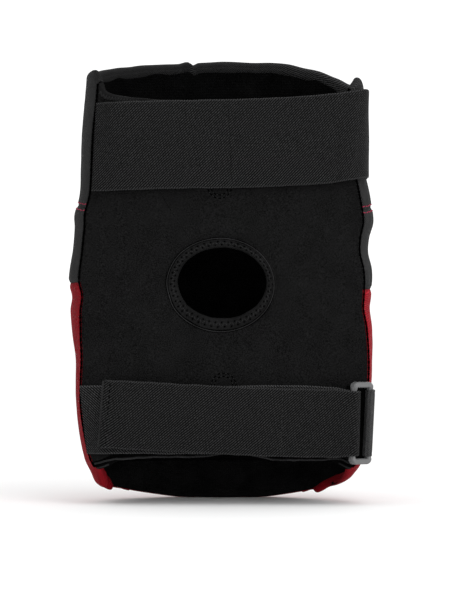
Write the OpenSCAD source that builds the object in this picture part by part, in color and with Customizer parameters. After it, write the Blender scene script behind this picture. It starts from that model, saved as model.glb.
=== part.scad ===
// Strap-on elbow pad: a padded front panel with a hard cap, a stretch rear panel with a vent
// over the crook of the elbow, and two elastic straps, the lower one doubled through a ring.
// Millimetres. +Z up, +Y towards the cap, the arm goes in along Z. The bottom lip rests on z = 0.

/* [Front panel] */
// Height from the bottom lip to the top of the rim
pad_height = 256; // [246:1:266]
// Widest half width, over the outer cover
pad_half_width = 87.5; // [84:0.5:91]
// Depth of the front of the panel ahead of its widest line
front_depth = 57; // [52:1:62]
// Total thickness of the padded wall at the front
wall_front = 16; // [13:0.5:18]
// Total thickness of the padded wall at the sides
wall_side = 8; // [7:0.5:10]
// Total thickness of the wall where it is sewn to the rear panel
wall_seam = 4.6; // [4.2:0.1:5.4]
// Thickness of the woven outer cover
cover = 1.2; // [1:0.1:1.6]
// Thickness of the knitted inner lining
lining = 1.2; // [1:0.1:1.6]
// Height of the bound edges at the top and the bottom
hem = 4; // [3:0.5:6]
// Height of the stitched seam between the two black covers
stitch_seam_z = 169; // [160:1:176]
// Height of the seam where the lower cover begins
colour_seam_z = 125; // [118:1:132]

/* [Rear panel] */
// Thickness of the stretch rear panel
rear_thickness = 3; // [2.5:0.5:4]
// How far the middle of the rear panel bows out behind its seams
rear_bow = 3; // [2:0.5:4]
// Width of the vent hole over the crook of the elbow
vent_width = 50; // [46:0.5:56]
// Height of the vent hole
vent_height = 40; // [36:0.5:44]
// Width of the binding round the vent hole
vent_binding = 5; // [4:0.5:6]
// Height of the centre of the vent hole
vent_z = 125; // [120:1:130]

/* [Straps] */
// Width of the upper elastic strap
upper_strap_width = 49; // [46:1:50]
// Width of the lower elastic strap
lower_strap_width = 38.5; // [37:0.5:39]
// Thickness of the elastic webbing
webbing = 1.8; // [1.5:0.1:2]
// Height of the middle of the upper strap
upper_strap_z = 205.2; // [203.2:0.5:206.2]
// Height of the middle of the lower strap
lower_strap_z = 48.8; // [48.3:0.5:50.8]
// Rise of the upper strap towards the right, in degrees
upper_tilt = 2.5; // [0:0.5:3]
// Fall of the lower strap towards the right, in degrees
lower_tilt = 1.5; // [0:0.5:2]

/* [Ring] */
// Distance between the axes of the ring's two bars
ring_pitch = 12; // [11:0.5:13]
// Radius of the ring's bars
bar_r = 1.75; // [1.5:0.05:1.9]
// Thickness of the keeper webbing that holds the ring
keeper_web = 1; // [0.8:0.1:1.2]

/* [Cap] */
// Height of the middle of the cap
cap_z = 112; // [108:1:116]
// Half height of the cap
cap_half_height = 60; // [54:1:64]
// Half width of the cap, as an angle round the front of the panel
cap_half_angle = 41; // [36:1:44]
// Thickness of the moulded cap
cap_wall = 3; // [2.5:0.25:3.5]
// How far the middle of the cap stands off the cover
cap_dome = 7; // [5:0.5:9]
// Radius of a rivet's head
rivet_head_r = 4.5; // [4:0.5:5]

/* [Hidden] */

gap = 0.1;           // between layers that lie on each other
clear = 0.35;        // between pieces that move past each other
widest_y = -15;      // the panel's widest line, which puts the box's middle at the origin
squareness = 2.3;    // exponent of the plan's superellipse: 2 is an ellipse
mid_z = 125;         // the elbow's height, where the panel bulges most
top_lean = 15;       // how far the front falls back at the top and the bottom lip
columns = 32;        // facets round the front panel
rear_columns = 20;   // facets across the rear panel
ring_ends = 3.75;       // height of the ring's end bars beyond the strap
$fn = 32;

black = [0.16, 0.16, 0.17];
rear_black = [0.1, 0.1, 0.1];
strap_black = [0.2, 0.2, 0.2];
red = [0.62, 0.07, 0.11];
plastic = [0.3, 0.3, 0.3];

// ---- small helpers ----
function lerp(a, b, t) = a + (b - a) * t;
function unit(v) = v / norm(v);
function clamp(t) = min(max(t, 0), 1);
function smooth(t) = let (c = clamp(t)) c * c * (3 - 2 * c);
function power(v, e) = sign(v) * pow(abs(v), e);

// A smooth curve through [position, value] stations
function slope(s, i) =
    let (a = max(i - 1, 0), b = min(i + 1, len(s) - 1)) (s[b][1] - s[a][1]) / (s[b][0] - s[a][0]);
function along(s, x, i = 0) =
    x <= s[0][0] ? s[0][1] :
    x >= s[len(s) - 1][0] ? s[len(s) - 1][1] :
    x > s[i + 1][0] ? along(s, x, i + 1) :
    let (w = s[i + 1][0] - s[i][0], t = (x - s[i][0]) / w,
        m0 = slope(s, i) * w, m1 = slope(s, i + 1) * w)
    s[i][1] * (1 + 2 * t) * pow(1 - t, 2) + m0 * t * pow(1 - t, 2)
    + s[i + 1][1] * t * t * (3 - 2 * t) - m1 * t * t * (1 - t);

// ---- the padded wall: u runs from the left seam (-1) to the right seam (1) ----
function half_width(z) = pad_half_width + along([[0, -21], [10, -17], [25, -9], [45, -5.5],
    [80, -3], [126, 0], [147, -2.2], [161, -1.6], [176, -4.2], [190, -5.8], [211, -6.7], [250, -10]], z);
function lean(z) = pow((z - mid_z) / 130, 2);
function front_reach(z) = front_depth - (top_lean - 3) * lean(z);
function mid_y(z) = widest_y - 3 * lean(z);
function seam_angle(z) = along([[20, 117], [27, 112], [40, 108.5], [60, 106.5], [80, 107], [100, 110.5], [122, 112.5],
    [148, 113], [170, 115.5], [200, 117.5], [230, 119]], z);
function seam_y(z) = -37.5 - 3 * lean(z);
function bottom_edge(u) = max(0, along([[0, 0], [0.17, 0.2], [0.24, 1], [0.42, 4.2], [0.5, 5.8], [0.6, 7.3],
    [0.8, 10.5], [0.9, 14], [1, 20.5]], abs(u)));
function top_edge(u) = pad_height - along([[0, 0], [0.15, 0.3], [0.25, 1.4], [0.33, 3.4], [0.42, 6.2], [0.5, 9.2],
    [0.56, 11], [0.7, 12.6], [0.93, 13], [1, 22]], abs(u));
function wall_thickness(u, z) =
    let (across = lerp(wall_front, wall_side, smooth(abs(u) / 0.75)),
        side = lerp(across, wall_seam, smooth((abs(u) - 0.75) / 0.25)),
        edge = min(smooth((z - bottom_edge(u)) / 45), smooth((top_edge(u) - z) / 40)))
    lerp(min(side, lerp(9, wall_seam, smooth(abs(u)))), side, edge);
function plan(u, z, inset) =
    let (a = u * seam_angle(z), e = 2 / squareness,
        rear_reach = (mid_y(z) - seam_y(z)) / pow(abs(cos(seam_angle(z))), e),
        reach = abs(a) < 90 ? front_reach(z) : rear_reach)
    [(half_width(z) - inset) * power(sin(a), e), mid_y(z) + (reach - inset) * power(cos(a), e), z];
// A point on the wall, a depth t in from the outside of the cover
function wall(u, z, t) =
    let (out = plan(u, z, 0), back = plan(u, z, wall_thickness(u, z)))
    out + unit(back - out) * t;
function wall_tangent(u, z) = unit(plan(u, z, 0) - plan(u - 0.002 * sign(u), z, 0));

// ---- the rear panel: s runs from the left seam (-1) to the right seam (1) ----
function rear_bottom(s) = along([[0, 30.5], [0.13, 29.5], [0.25, 27.8], [0.4, 26.8], [0.6, 26], [0.8, 25],
    [0.9, 23.2], [1, 20.5]], abs(s));
function rear_top(s) = 228 + 4.4 * s * s;
// A point on the rear panel, a depth t in from its outside
function rear(s, z, t) =
    let (side = s < 0 ? -1 : 1, edge = wall(side, z, 0), inward = unit(wall(side, z, 1) - edge),
        seam = edge + wall_tangent(side, z) * clear, k = pow(abs(s), 3),
        n = unit(lerp([0, 1, 0], inward, k)))
    [abs(s) * seam[0], seam[1] - rear_bow * (1 - s * s), z] + n * t;

// ---- solids built from grids of points ----
// A closed shell between two grids of points, each a list of rows
module shell(outer, inner) {
    rows = len(outer);
    cols = len(outer[0]);
    n = rows * cols;
    points = [for (g = [outer, inner]) for (r = g) for (p = r) p];
    front = [for (j = [0 : rows - 2]) for (i = [0 : cols - 2]) let (a = j * cols + i)
        each [[a, a + cols, a + 1], [a + 1, a + cols, a + cols + 1]]];
    back = [for (f = front) [f[2] + n, f[1] + n, f[0] + n]];
    rim = concat([for (i = [0 : cols - 2]) i], [for (j = [0 : rows - 2]) j * cols + cols - 1],
        [for (i = [0 : cols - 2]) n - 1 - i], [for (j = [0 : rows - 2]) (rows - 1 - j) * cols]);
    m = len(rim);
    sides = [for (k = [0 : m - 1]) let (a = rim[k], b = rim[(k + 1) % m])
        each [[a, b, b + n], [a, b + n, a + n]]];
    polyhedron(points, concat(front, back, sides));
}

// Levels up the wall, shared by every layer so that their facets lie parallel: the lip, the
// hem, the two seams of the cover, the rim's hem and the rim
hem_level = 1;
colour_level = 10;
stitch_level = 14;
rim_level = 20;
function level(u, k) =
    let (marks = [[0, bottom_edge(u)], [hem_level, bottom_edge(u) + hem], [colour_level, colour_seam_z],
        [stitch_level, stitch_seam_z], [rim_level, top_edge(u) - hem], [rim_level + 1, top_edge(u)]])
    lookup(k, marks);

// Part of the wall between two levels and two depths
module wall_layer(low, high, near, far) {
    grid = function (depth) [for (k = [low : high]) [for (i = [0 : columns])
        let (u = lerp(-1, 1, i / columns),
            z = level(u, k) + (k == low && k > 0 ? gap : k == high && k <= rim_level ? -gap : 0))
        wall(u, z, depth(u, z))]];
    shell(grid(near), grid(far));
}

// Part of the rear panel between two depths and two edge curves
module rear_layer(s0, s1, low, high, near, far, cols, rows) {
    grid = function (t) [for (j = [0 : rows]) [for (i = [0 : cols])
        let (s = lerp(s1, s0, i / cols), z = lerp(low(s), high(s), j / rows)) rear(s, z, t)]];
    shell(grid(near), grid(far));
}

// A band of webbing standing on edge: its plan follows a path, offset to the left of it
module band(path, thickness, width) {
    n = len(path);
    side = [for (i = [0 : n - 1])
        let (d = unit(path[min(i + 1, n - 1)] - path[max(i - 1, 0)])) [-d[1], d[0]] * thickness];
    back = [for (i = [n - 1 : -1 : 0]) path[i] + side[i]];
    translate([0, 0, -width / 2]) linear_extrude(height = width) polygon(concat(path, back));
}

module upper_level() {
    translate([0, 0, upper_strap_z]) rotate([0, -upper_tilt, 0]) children();
}

module lower_level() {
    translate([0, 0, lower_strap_z]) rotate([0, lower_tilt, 0]) children();
}

// ---- depths through the wall ----
outside = function (u, z) 0;
cover_back = function (u, z) cover;
foam_front = function (u, z) cover + gap;
foam_split = function (u, z) lerp(cover, wall_thickness(u, z) - lining, 0.55);
comfort_front = function (u, z) foam_split(u, z) + gap;
foam_back = function (u, z) wall_thickness(u, z) - lining - gap;
lining_front = function (u, z) wall_thickness(u, z) - lining;
inside = function (u, z) wall_thickness(u, z);

// ---- front panel ----
module upper_cover() {
    color(black) wall_layer(stitch_level, rim_level, outside, cover_back);
}

module middle_cover() {
    color(black) difference() {
        wall_layer(colour_level, stitch_level, outside, cover_back);
        rivet_holes();
    }
}

module lower_cover() {
    color(red) difference() {
        wall_layer(hem_level, colour_level, outside, cover_back);
        rivet_holes();
    }
}

module impact_foam() {
    color("dimgray") difference() {
        wall_layer(hem_level, rim_level, foam_front, foam_split);
        at_rivets() translate([0, 0, -cover - washer_pocket]) cylinder(r = washer_r + 0.5, h = 2 * washer_pocket);
    }
}

module comfort_foam() {
    color("gray") wall_layer(hem_level, rim_level, comfort_front, foam_back);
}

module front_lining() {
    color(rear_black) wall_layer(hem_level, rim_level, lining_front, inside);
}

module top_hem() {
    color(black) wall_layer(rim_level, rim_level + 1, outside, inside);
}

module bottom_hem() {
    color(red) wall_layer(0, hem_level, outside, inside);
}

// ---- rear panel ----
edging_proud = 0.3;  // how far an edging stands off the rear panel on each face

module vent_outline(grow) {
    translate([0, seam_y(vent_z), vent_z]) rotate([90, 0, 0]) scale([vent_width + grow, vent_height + grow, 1])
        cylinder(d = 1, h = 30, center = true, $fn = 64);
}

module rear_panel() {
    color(rear_black) difference() {
        rear_layer(-1, 1, function (s) rear_bottom(s) + hem + gap, function (s) rear_top(s) - hem - gap,
            0, rear_thickness, rear_columns, 12);
        vent_outline(2 * vent_binding + 2 * gap);
    }
}

// The binding lies a little proud of the rear panel on both faces
module vent_edging() {
    proud = 0.5;
    y = seam_y(vent_z) - rear_bow;
    color(black) translate([0, y - proud, vent_z]) rotate([-90, 0, 0]) difference() {
        scale([vent_width + 2 * vent_binding, vent_height + 2 * vent_binding, 1])
            cylinder(d = 1, h = rear_thickness + 2 * proud, $fn = 64);
        translate([0, 0, -1]) scale([vent_width, vent_height, 1])
            cylinder(d = 1, h = rear_thickness + 2 * proud + 2, $fn = 64);
    }
}

module rear_top_edging() {
    color(black) rear_layer(-1, 1, function (s) rear_top(s) - hem, function (s) rear_top(s), -edging_proud,
        rear_thickness + edging_proud, rear_columns, 1);
}

module rear_bottom_edging() {
    color(black) rear_layer(-1, 1, function (s) rear_bottom(s), function (s) rear_bottom(s) + hem, -edging_proud,
        rear_thickness + edging_proud, rear_columns, 1);
}

// A tape over the seam allowance, on the inside
module seam_tape(side) {
    inner = side * 0.92;
    tape = 1;
    color(black) rear_layer(min(side, inner), max(side, inner), function (s) 40, function (s) 215,
        rear_thickness + gap, rear_thickness + gap + tape, 2, 10);
}

module left_seam_tape() { seam_tape(-1); }
module right_seam_tape() { seam_tape(1); }

// ---- cap and its rivets ----
washer_r = 7;
washer_wall = 1;
washer_pocket = 2.8;  // depth of the pocket in the foam for a washer
shank_r = 2;
head_height = 1.4;
cap_rise_rim = 0.4;   // how far the cap's rim stands off the cover
corner_cut = 2.6;     // how squarely the cap's outline fills its corners
cap_cells = 20;
// Where the rivets stand: shares of the way across and up the cap
rivet_places = [for (x = [-1, 1]) for (z = [-1, 1]) [0.82 * x, 0.84 * z]];

// A point a depth t in from the cover's face, a across and b up the cap, from -1 to 1
function cap_base(a, b, t) =
    let (p = a * sqrt(1 - b * b / corner_cut), q = b * sqrt(1 - a * a / corner_cut),
        z = cap_z + cap_half_height * q, u = p * cap_half_angle * (1 - 0.08 * q) / seam_angle(z))
    wall(u, z, t);
// The cap's flat corners carry the rivets, and the rest of it rises to a dome
function cap_rise(a, b) =
    cap_rise_rim + cap_dome * smooth(((1 - pow(a, 4)) * (1 - pow(b, 4)) - 0.48) / 0.42);

module hard_cap() {
    grid = function (extra) [for (j = [0 : cap_cells]) [for (i = [0 : cap_cells])
        let (a = lerp(-1, 1, i / cap_cells), b = lerp(-1, 1, j / cap_cells))
        cap_base(a, b, -cap_rise(a, b) - extra)]];
    color(plastic) difference() {
        shell(grid(cap_wall), grid(0));
        rivet_holes();
    }
}

// Puts children at each rivet, with +Z out of the cover and z = 0 on the cover's face
module at_rivets() {
    near = 0.02;  // step over which the cover's slope is taken
    for (r = rivet_places) {
        across = cap_base(r[0] + near, r[1], 0) - cap_base(r[0] - near, r[1], 0);
        up = cap_base(r[0], r[1] + near, 0) - cap_base(r[0], r[1] - near, 0);
        out = unit(cross(up, across));
        translate(cap_base(r[0], r[1], 0)) rotate([0, acos(out[2]), atan2(out[1], out[0])]) children();
    }
}

module rivet_holes() {
    at_rivets() translate([0, 0, -cover - 2 * washer_pocket]) cylinder(r = shank_r + gap, h = 20);
}

module cap_rivets() {
    top = cap_rise(rivet_places[0][0], rivet_places[0][1]) + cap_wall + 0.3;
    foot = cover + washer_pocket - 0.4;
    color("silver") at_rivets() {
        translate([0, 0, -foot]) cylinder(r = shank_r, h = top + foot);
        translate([0, 0, top]) cylinder(r1 = rivet_head_r, r2 = rivet_head_r * 0.6, h = head_height);
    }
}

module rivet_washers() {
    color("silver") at_rivets() translate([0, 0, -cover - washer_pocket + 0.3]) difference() {
        cylinder(r = washer_r, h = washer_wall);
        translate([0, 0, -1]) cylinder(r = shank_r + gap / 2, h = washer_wall + 2);
    }
}

// ---- straps: bands whose plan follows a middle line ----
module strap(path, width, thickness = webbing) {
    n = len(path);
    shifted = [for (i = [0 : n - 1])
        let (d = unit(path[min(i + 1, n - 1)] - path[max(i - 1, 0)])) path[i] + [d[1], -d[0]] * thickness / 2];
    band(shifted, thickness, width);
}

// The round end on which a strap bends, a little thicker than the strap, and the hollow it bends in
module knuckle(at, width) {
    translate([at[0], at[1], 0]) cylinder(r = webbing / 2 + 0.03, h = width, center = true);
}

module hollow(at, width) {
    translate([at[0], at[1], 0]) cylinder(r = webbing / 2 + clear, h = width + 2, center = true);
}

sewn = 0.05;         // between a patch and the strap it is sewn to
hook = 0.8;          // thickness of the hook patches
loop = 0.9;          // thickness of the loop patches

// ---- upper strap: sewn at the left, round the right side, closed at the front ----
upper_root = [-70.5, -41.8];     // where it bends beside the left seam
upper_corner = [80.6, -38.6];    // where it bends round the right side
span_y = seam_y(upper_strap_z + upper_strap_width / 2) - rear_bow - edging_proud - clear - webbing / 2;
wrap_z = 186;                    // the panel is widest here within the strap's height
wrap_step = 4;                   // degrees between the wrap's facets
strap_tip = 34;                  // the strap's end reaches this far round to the front
loop_tip = 26;
patch_start = 62;
function wrap(a, offset) = let (e = 2 / squareness)
    [(half_width(wrap_z) + offset) * power(sin(a), e), mid_y(wrap_z) + (front_reach(wrap_z) + offset) * power(cos(a), e)];
// The strap's middle line rises from the cover over the thickness of the two patches
function wrap_offset(a) =
    webbing / 2 + lerp(clear, 2 * clear + loop + hook + sewn, smooth((86 - a) / (86 - patch_start)));

module upper_strap_anchor() {
    color(strap_black) upper_level() difference() {
        strap([[-74.5, -41], upper_root], upper_strap_width);
        hollow(upper_root, upper_strap_width);
    }
}

module upper_strap_span() {
    color(strap_black) upper_level() {
        knuckle(upper_root, upper_strap_width);
        difference() {
            strap([upper_root, [-58, span_y], for (x = [-40 : 20 : 60]) [x, span_y], [74, span_y + 1.2], upper_corner],
                upper_strap_width);
            hollow(upper_corner, upper_strap_width);
        }
    }
}

module upper_strap_end() {
    color(strap_black) upper_level() {
        knuckle(upper_corner, upper_strap_width);
        strap([upper_corner, [83, -31], for (a = [86 : -wrap_step : strap_tip]) wrap(a, wrap_offset(a))],
            upper_strap_width);
    }
}

module upper_hook_patch() {
    color(rear_black) upper_level()
        strap([for (a = [patch_start : -wrap_step : strap_tip]) wrap(a, 2 * clear + loop + hook / 2)],
            upper_strap_width - 6, hook);
}

module upper_loop_patch() {
    color(rear_black) upper_level()
        strap([for (a = [patch_start : -wrap_step : loop_tip]) wrap(a, clear + loop / 2)],
            upper_strap_width - 4, loop);
}

// ---- lower strap: sewn at the left, through the ring at the right, and back over itself ----
inner_bar = [73.6, -48.3];
outer_bar = inner_bar + ring_pitch * [cos(40), sin(40)];
turn_r = bar_r + clear;          // inside radius of the webbing where it turns round a bar
turn_y = turn_r + webbing / 2;   // from the bar's axis to the middle of the webbing
turn_x = inner_bar[0] - 4;
base_y = seam_y(lower_strap_z - lower_strap_width / 2) - rear_bow - edging_proud - clear - webbing / 2;
loop_y = base_y - (webbing + loop) / 2 - sewn;
hook_y = loop_y - (loop + hook) / 2 - clear;
tail_y = hook_y - (hook + webbing) / 2 - sewn;
tail_root = inner_bar - [0, turn_y];
tail_tip = -67;

module lower_strap_base() {
    color(strap_black) lower_level()
        strap([[-78.5, -40.6], [-66, base_y + 1.2], [-54, base_y + 0.2], for (x = [-40 : 20 : 40]) [x, base_y],
            [58, base_y - 0.4], [turn_x - clear, inner_bar[1] + turn_y]], lower_strap_width);
}

module lower_loop_patch() {
    color(rear_black) lower_level()
        strap([[-40, loop_y], [40, loop_y]], lower_strap_width - 4, loop);
}

// The strap's turn round the ring's inner bar
module lower_strap_turn() {
    tall = lower_strap_width + 2;
    color(strap_black) lower_level() difference() {
        translate([inner_bar[0], inner_bar[1], 0]) difference() {
            union() {
                cylinder(r = turn_r + webbing, h = lower_strap_width, center = true);
                translate([turn_x - inner_bar[0], turn_r, -lower_strap_width / 2])
                    cube([inner_bar[0] - turn_x, webbing, lower_strap_width]);
            }
            cylinder(r = turn_r, h = tall, center = true);
            translate([-2 * turn_r - webbing, -turn_r - webbing, -tall / 2])
                cube([2 * turn_r + webbing, 2 * turn_r + webbing, tall]);
        }
        hollow(tail_root, lower_strap_width);
    }
}

module lower_strap_tail() {
    color(strap_black) lower_level() {
        knuckle(tail_root, lower_strap_width);
        strap([tail_root, [62, tail_y - 2], [50, tail_y - 0.5], [40, tail_y], [0, tail_y], [tail_tip, tail_y]],
            lower_strap_width);
    }
}

module lower_hook_patch() {
    color(rear_black) lower_level() strap([[-38, hook_y], [34, hook_y]], lower_strap_width - 4, hook);
}

// The folded and stitched end of the strap
module tail_end_tab() {
    fold = 1.4;
    color(strap_black) lower_level()
        strap([[tail_tip, tail_y + (webbing + fold) / 2 + sewn], [tail_tip + 8, tail_y + (webbing + fold) / 2 + sewn]],
            lower_strap_width, fold);
}

// A slim rectangle of two round bars joined by thicker ends
module strap_ring() {
    end_r = bar_r + 0.35;
    end_height = ring_ends - 0.4;
    height = lower_strap_width + 2 * ring_ends;
    color(plastic) lower_level() {
        for (b = [inner_bar, outer_bar])
            translate([b[0], b[1], 0]) cylinder(r = bar_r, h = height - end_height, center = true);
        for (side = [-1, 1]) translate([0, 0, side * (height - end_height) / 2]) {
            for (b = [inner_bar, outer_bar])
                translate([b[0], b[1], 0]) cylinder(r = end_r, h = end_height, center = true);
            translate([inner_bar[0], inner_bar[1], 0])
                rotate([0, 0, atan2(outer_bar[1] - inner_bar[1], outer_bar[0] - inner_bar[0])])
                    translate([0, -end_r, -end_height / 2]) cube([ring_pitch, 2 * end_r, end_height]);
        }
    }
}

// A loop of flat webbing round the ring's outer bar, sewn along the side of the panel
module ring_keeper() {
    keeper_r = bar_r + 0.06;
    width = lower_strap_width - 1;
    reach = 28;
    color(black) lower_level() translate([outer_bar[0], outer_bar[1], 0]) difference() {
        union() {
            cylinder(r = keeper_r + keeper_web, h = width, center = true);
            translate([keeper_r, 0, -width / 2]) cube([keeper_web, reach, width]);
        }
        cylinder(r = keeper_r, h = width + 2, center = true);
    }
}

hard_cap();
cap_rivets();
rivet_washers();
upper_cover();
middle_cover();
lower_cover();
impact_foam();
comfort_foam();
front_lining();
top_hem();
bottom_hem();
rear_panel();
vent_edging();
rear_top_edging();
rear_bottom_edging();
left_seam_tape();
right_seam_tape();
upper_strap_anchor();
upper_strap_span();
upper_strap_end();
upper_hook_patch();
upper_loop_patch();
lower_strap_base();
lower_loop_patch();
ring_keeper();
strap_ring();
lower_strap_turn();
lower_strap_tail();
lower_hook_patch();
tail_end_tab();
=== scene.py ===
"""The elbow pad's looks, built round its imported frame.

+Z is up, +Y is towards the cap, and the straps cross the rear, on the -Y side. Shapes are worked
out in millimetres, as the frame was designed, and become metres when a mesh is made.
"""

import math

import bmesh
import bpy
import numpy as np
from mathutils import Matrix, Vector


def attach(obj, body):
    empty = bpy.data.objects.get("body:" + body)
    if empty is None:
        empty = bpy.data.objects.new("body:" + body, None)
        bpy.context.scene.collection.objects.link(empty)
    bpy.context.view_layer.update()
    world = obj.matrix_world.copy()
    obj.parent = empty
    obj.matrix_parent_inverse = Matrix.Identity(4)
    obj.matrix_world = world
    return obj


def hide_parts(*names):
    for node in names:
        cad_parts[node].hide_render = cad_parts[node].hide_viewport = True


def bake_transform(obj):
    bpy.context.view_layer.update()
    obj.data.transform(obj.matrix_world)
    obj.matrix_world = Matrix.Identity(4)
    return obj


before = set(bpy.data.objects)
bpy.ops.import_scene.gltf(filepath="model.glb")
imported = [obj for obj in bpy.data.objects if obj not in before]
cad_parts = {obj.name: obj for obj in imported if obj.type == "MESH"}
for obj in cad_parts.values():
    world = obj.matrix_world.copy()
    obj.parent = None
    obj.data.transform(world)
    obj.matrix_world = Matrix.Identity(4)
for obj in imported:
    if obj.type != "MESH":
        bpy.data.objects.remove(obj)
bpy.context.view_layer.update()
MM = 0.001

# ------------------------------------------------------------------ sizes, in millimetres
HEIGHT = 256
HEM = 4
COVER = 1.2
LINING = 1.2
SEAM_RED = 125  # where the lower cover begins
SEAM_STITCHED = 169
WALL_FRONT, WALL_SIDE, WALL_SEAM = 16, 8, 4.6
REAR_THICK, REAR_BOW = 3, 3
VENT_HOLE = (0.1, 125.6), (25, 19.9)  # centre and half sizes of the vent hole
VENT_PIPING = (-0.8, 124.5), (29.9, 26)  # and of the piping round its binding
VENT_BINDING = 5.2
MID_Z, WIDEST_Y, FRONT_DEPTH, TOP_LEAN = 125, -15, 57, 15
POWER = 2 / 2.3  # of the plan's superellipse
RIB = 1.13  # from one diagonal rib of the elastic to the next
CAP_Z, CAP_HALF_H, CAP_ANGLE, CAP_TAPER, CAP_WALL, CAP_DOME = 112, 60, 41, 0.08, 3, 7
WEBBING = 1.8
UPPER_Z, UPPER_W, UPPER_TILT = 205.2, 50, -2.5
LOWER_Z, LOWER_W, LOWER_TILT = 48.8, 38.5, 1.5
INNER_BAR = np.array([73.6, -48.3])
OUTER_BAR = INNER_BAR + 12 * np.array([math.cos(math.radians(40)), math.sin(math.radians(40))])
BAR_R = 1.75

# (height, half width) of the pad on its left and its right, puckers at the seams included
LEFT_WIDTH = [(0, 66), (10, 72.4), (16, 74.2), (26, 78.7), (45, 82.2), (58, 83.6), (69, 83.7), (83, 83.8), (97, 85.8),
              (110, 86.7), (118, 85.9), (127, 87.8), (143, 85.7), (157, 84.4), (165, 84.4), (176, 81.6),
              (192, 80.8), (211, 80.2), (232, 78.4), (250, 77)]
RIGHT_WIDTH = [(0, 64), (10, 69), (16, 74.8), (24, 80), (45, 83.4), (69, 85.5), (84, 86), (100, 86),
               (111, 84.6), (118, 85.3), (127, 86), (134, 85.6), (143, 83.6), (151, 84.2), (161, 86.6),
               (175, 84.9), (190, 82), (211, 81.4), (240, 81), (250, 79.5)]
# (height, degrees round from the front) of the seams to the rear panel
SEAM_ANGLES = [(20, 112), (27, 109.5), (40, 107.5), (60, 106.5), (80, 107), (100, 110.5), (122, 112.5), (148, 113),
               (170, 114.5), (200, 115.3), (230, 117)]
# (how far round, height) of the lower edge, and (how far round, fall) of the rim
BOTTOM_EDGE = [(0, 0), (0.17, 0.2), (0.24, 1), (0.42, 4.2), (0.5, 5.8), (0.6, 7.3), (0.8, 10.5), (0.9, 14), (1, 20.5)]
TOP_LEFT = [(0, 0), (0.35, 3), (0.65, 8), (0.8, 10), (0.94, 10), (1, 16)]
TOP_RIGHT = [(0, 0), (0.225, 1.4), (0.31, 4), (0.4, 6.8), (0.48, 10.1), (0.58, 14.6), (0.7, 16), (0.8, 15.6),
             (0.87, 13.4), (0.93, 15.8), (1, 20)]
# (how far across, height) of the rear panel's edges
REAR_BOTTOM = [(-1, 20.5), (-0.92, 21.7), (-0.77, 25.7), (-0.53, 27.4), (-0.16, 27.8), (-0.05, 28.9), (0.05, 29.9),
               (0.16, 29.6), (0.23, 28.5), (0.39, 26.1), (0.8, 25.3), (0.96, 21), (1, 20.5)]
REAR_TOP = [(-1, 239), (-0.965, 235.2), (-0.93, 233.2), (-0.85, 231.8), (-0.71, 230.4), (-0.41, 228.7), (0, 228),
            (0.5, 229), (0.85, 231), (1, 234)]


# ------------------------------------------------------------------ curves
def lerp(a, b, t):
    return a + (b - a) * t


def smooth(t):
    t = np.clip(t, 0, 1)
    return t * t * (3 - 2 * t)


def bump(x, centre, width):
    """A rounded hump, 1 at its centre."""
    return np.exp(-(((x - centre) / width) ** 2))


def along(stations, x):
    """A smooth curve through (position, value) stations."""
    at, value = np.array(stations, float).T
    x = np.clip(np.asarray(x, float), at[0], at[-1])
    i = np.clip(np.searchsorted(at, x, side="right") - 1, 0, len(at) - 2)
    low, high = np.maximum(np.arange(len(at)) - 1, 0), np.minimum(np.arange(len(at)) + 1, len(at) - 1)
    slope = (value[high] - value[low]) / (at[high] - at[low])
    w = at[i + 1] - at[i]
    t = (x - at[i]) / w
    return (value[i] * (1 + 2 * t) * (1 - t) ** 2 + slope[i] * w * t * (1 - t) ** 2
            + value[i + 1] * t * t * (3 - 2 * t) - slope[i + 1] * w * t * t * (1 - t))


def crowded(count):
    """Numbers from -1 to 1, closest together at both ends."""
    t = np.linspace(-1, 1, count)
    return np.sign(t) * (1 - (1 - np.abs(t)) ** 1.25)


def turns(count):
    """Evenly spaced angles once round."""
    return np.linspace(0, math.tau, count, endpoint=False)


def stacked(*columns):
    """Points from their coordinates."""
    return np.stack(np.broadcast_arrays(*columns), axis=-1)


def unit(v):
    return v / np.maximum(np.linalg.norm(v, axis=-1, keepdims=True), 1e-9)


def power(v, e):
    return np.sign(v) * np.abs(v) ** e


def ripple(x, y, size, seed=0):
    """Soft seeded waves between about -1 and 1, from a few sines at unrelated angles."""
    r = np.random.default_rng(seed)
    total = 0
    for k in range(7):
        angle, phase, f = r.uniform(0, math.tau), r.uniform(0, math.tau), r.uniform(0.6, 1.7) / size
        total = total + np.sin(math.tau * f * (x * math.cos(angle) + y * math.sin(angle)) + phase)
    return total / 4


# ------------------------------------------------------------------ the padded wall
def lean(z):
    return ((z - MID_Z) / 130) ** 2


def half_width(u, z):
    side = smooth((u + 0.15) / 0.3)
    return lerp(along(LEFT_WIDTH, z), along(RIGHT_WIDTH, z), side)


def mid_y(z):
    return WIDEST_Y - 3 * lean(z)


def seam_angle(u, z):
    shift = 2 * (smooth((-u - 0.5) / 0.3) - smooth((u - 0.5) / 0.3)) * bump(z, 98, 42)
    return np.radians(along(SEAM_ANGLES, z) + shift)


def seam_y(z):
    return -37.5 - 3 * lean(z)


def bottom_edge(u):
    return np.maximum(0, along(BOTTOM_EDGE, np.abs(u)))


def top_edge(u):
    return HEIGHT - np.where(u < 0, along(TOP_LEFT, -u), along(TOP_RIGHT, u))


def wall_thickness(u, z):
    across = lerp(WALL_FRONT, WALL_SIDE, smooth(np.abs(u) / 0.75))
    side = lerp(across, WALL_SEAM, smooth((np.abs(u) - 0.75) / 0.25))
    edge = np.minimum(smooth((z - bottom_edge(u)) / 45), smooth((top_edge(u) - z) / 40))
    return lerp(np.minimum(side, lerp(9, WALL_SEAM, smooth(np.abs(u)))), side, edge)


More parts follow.
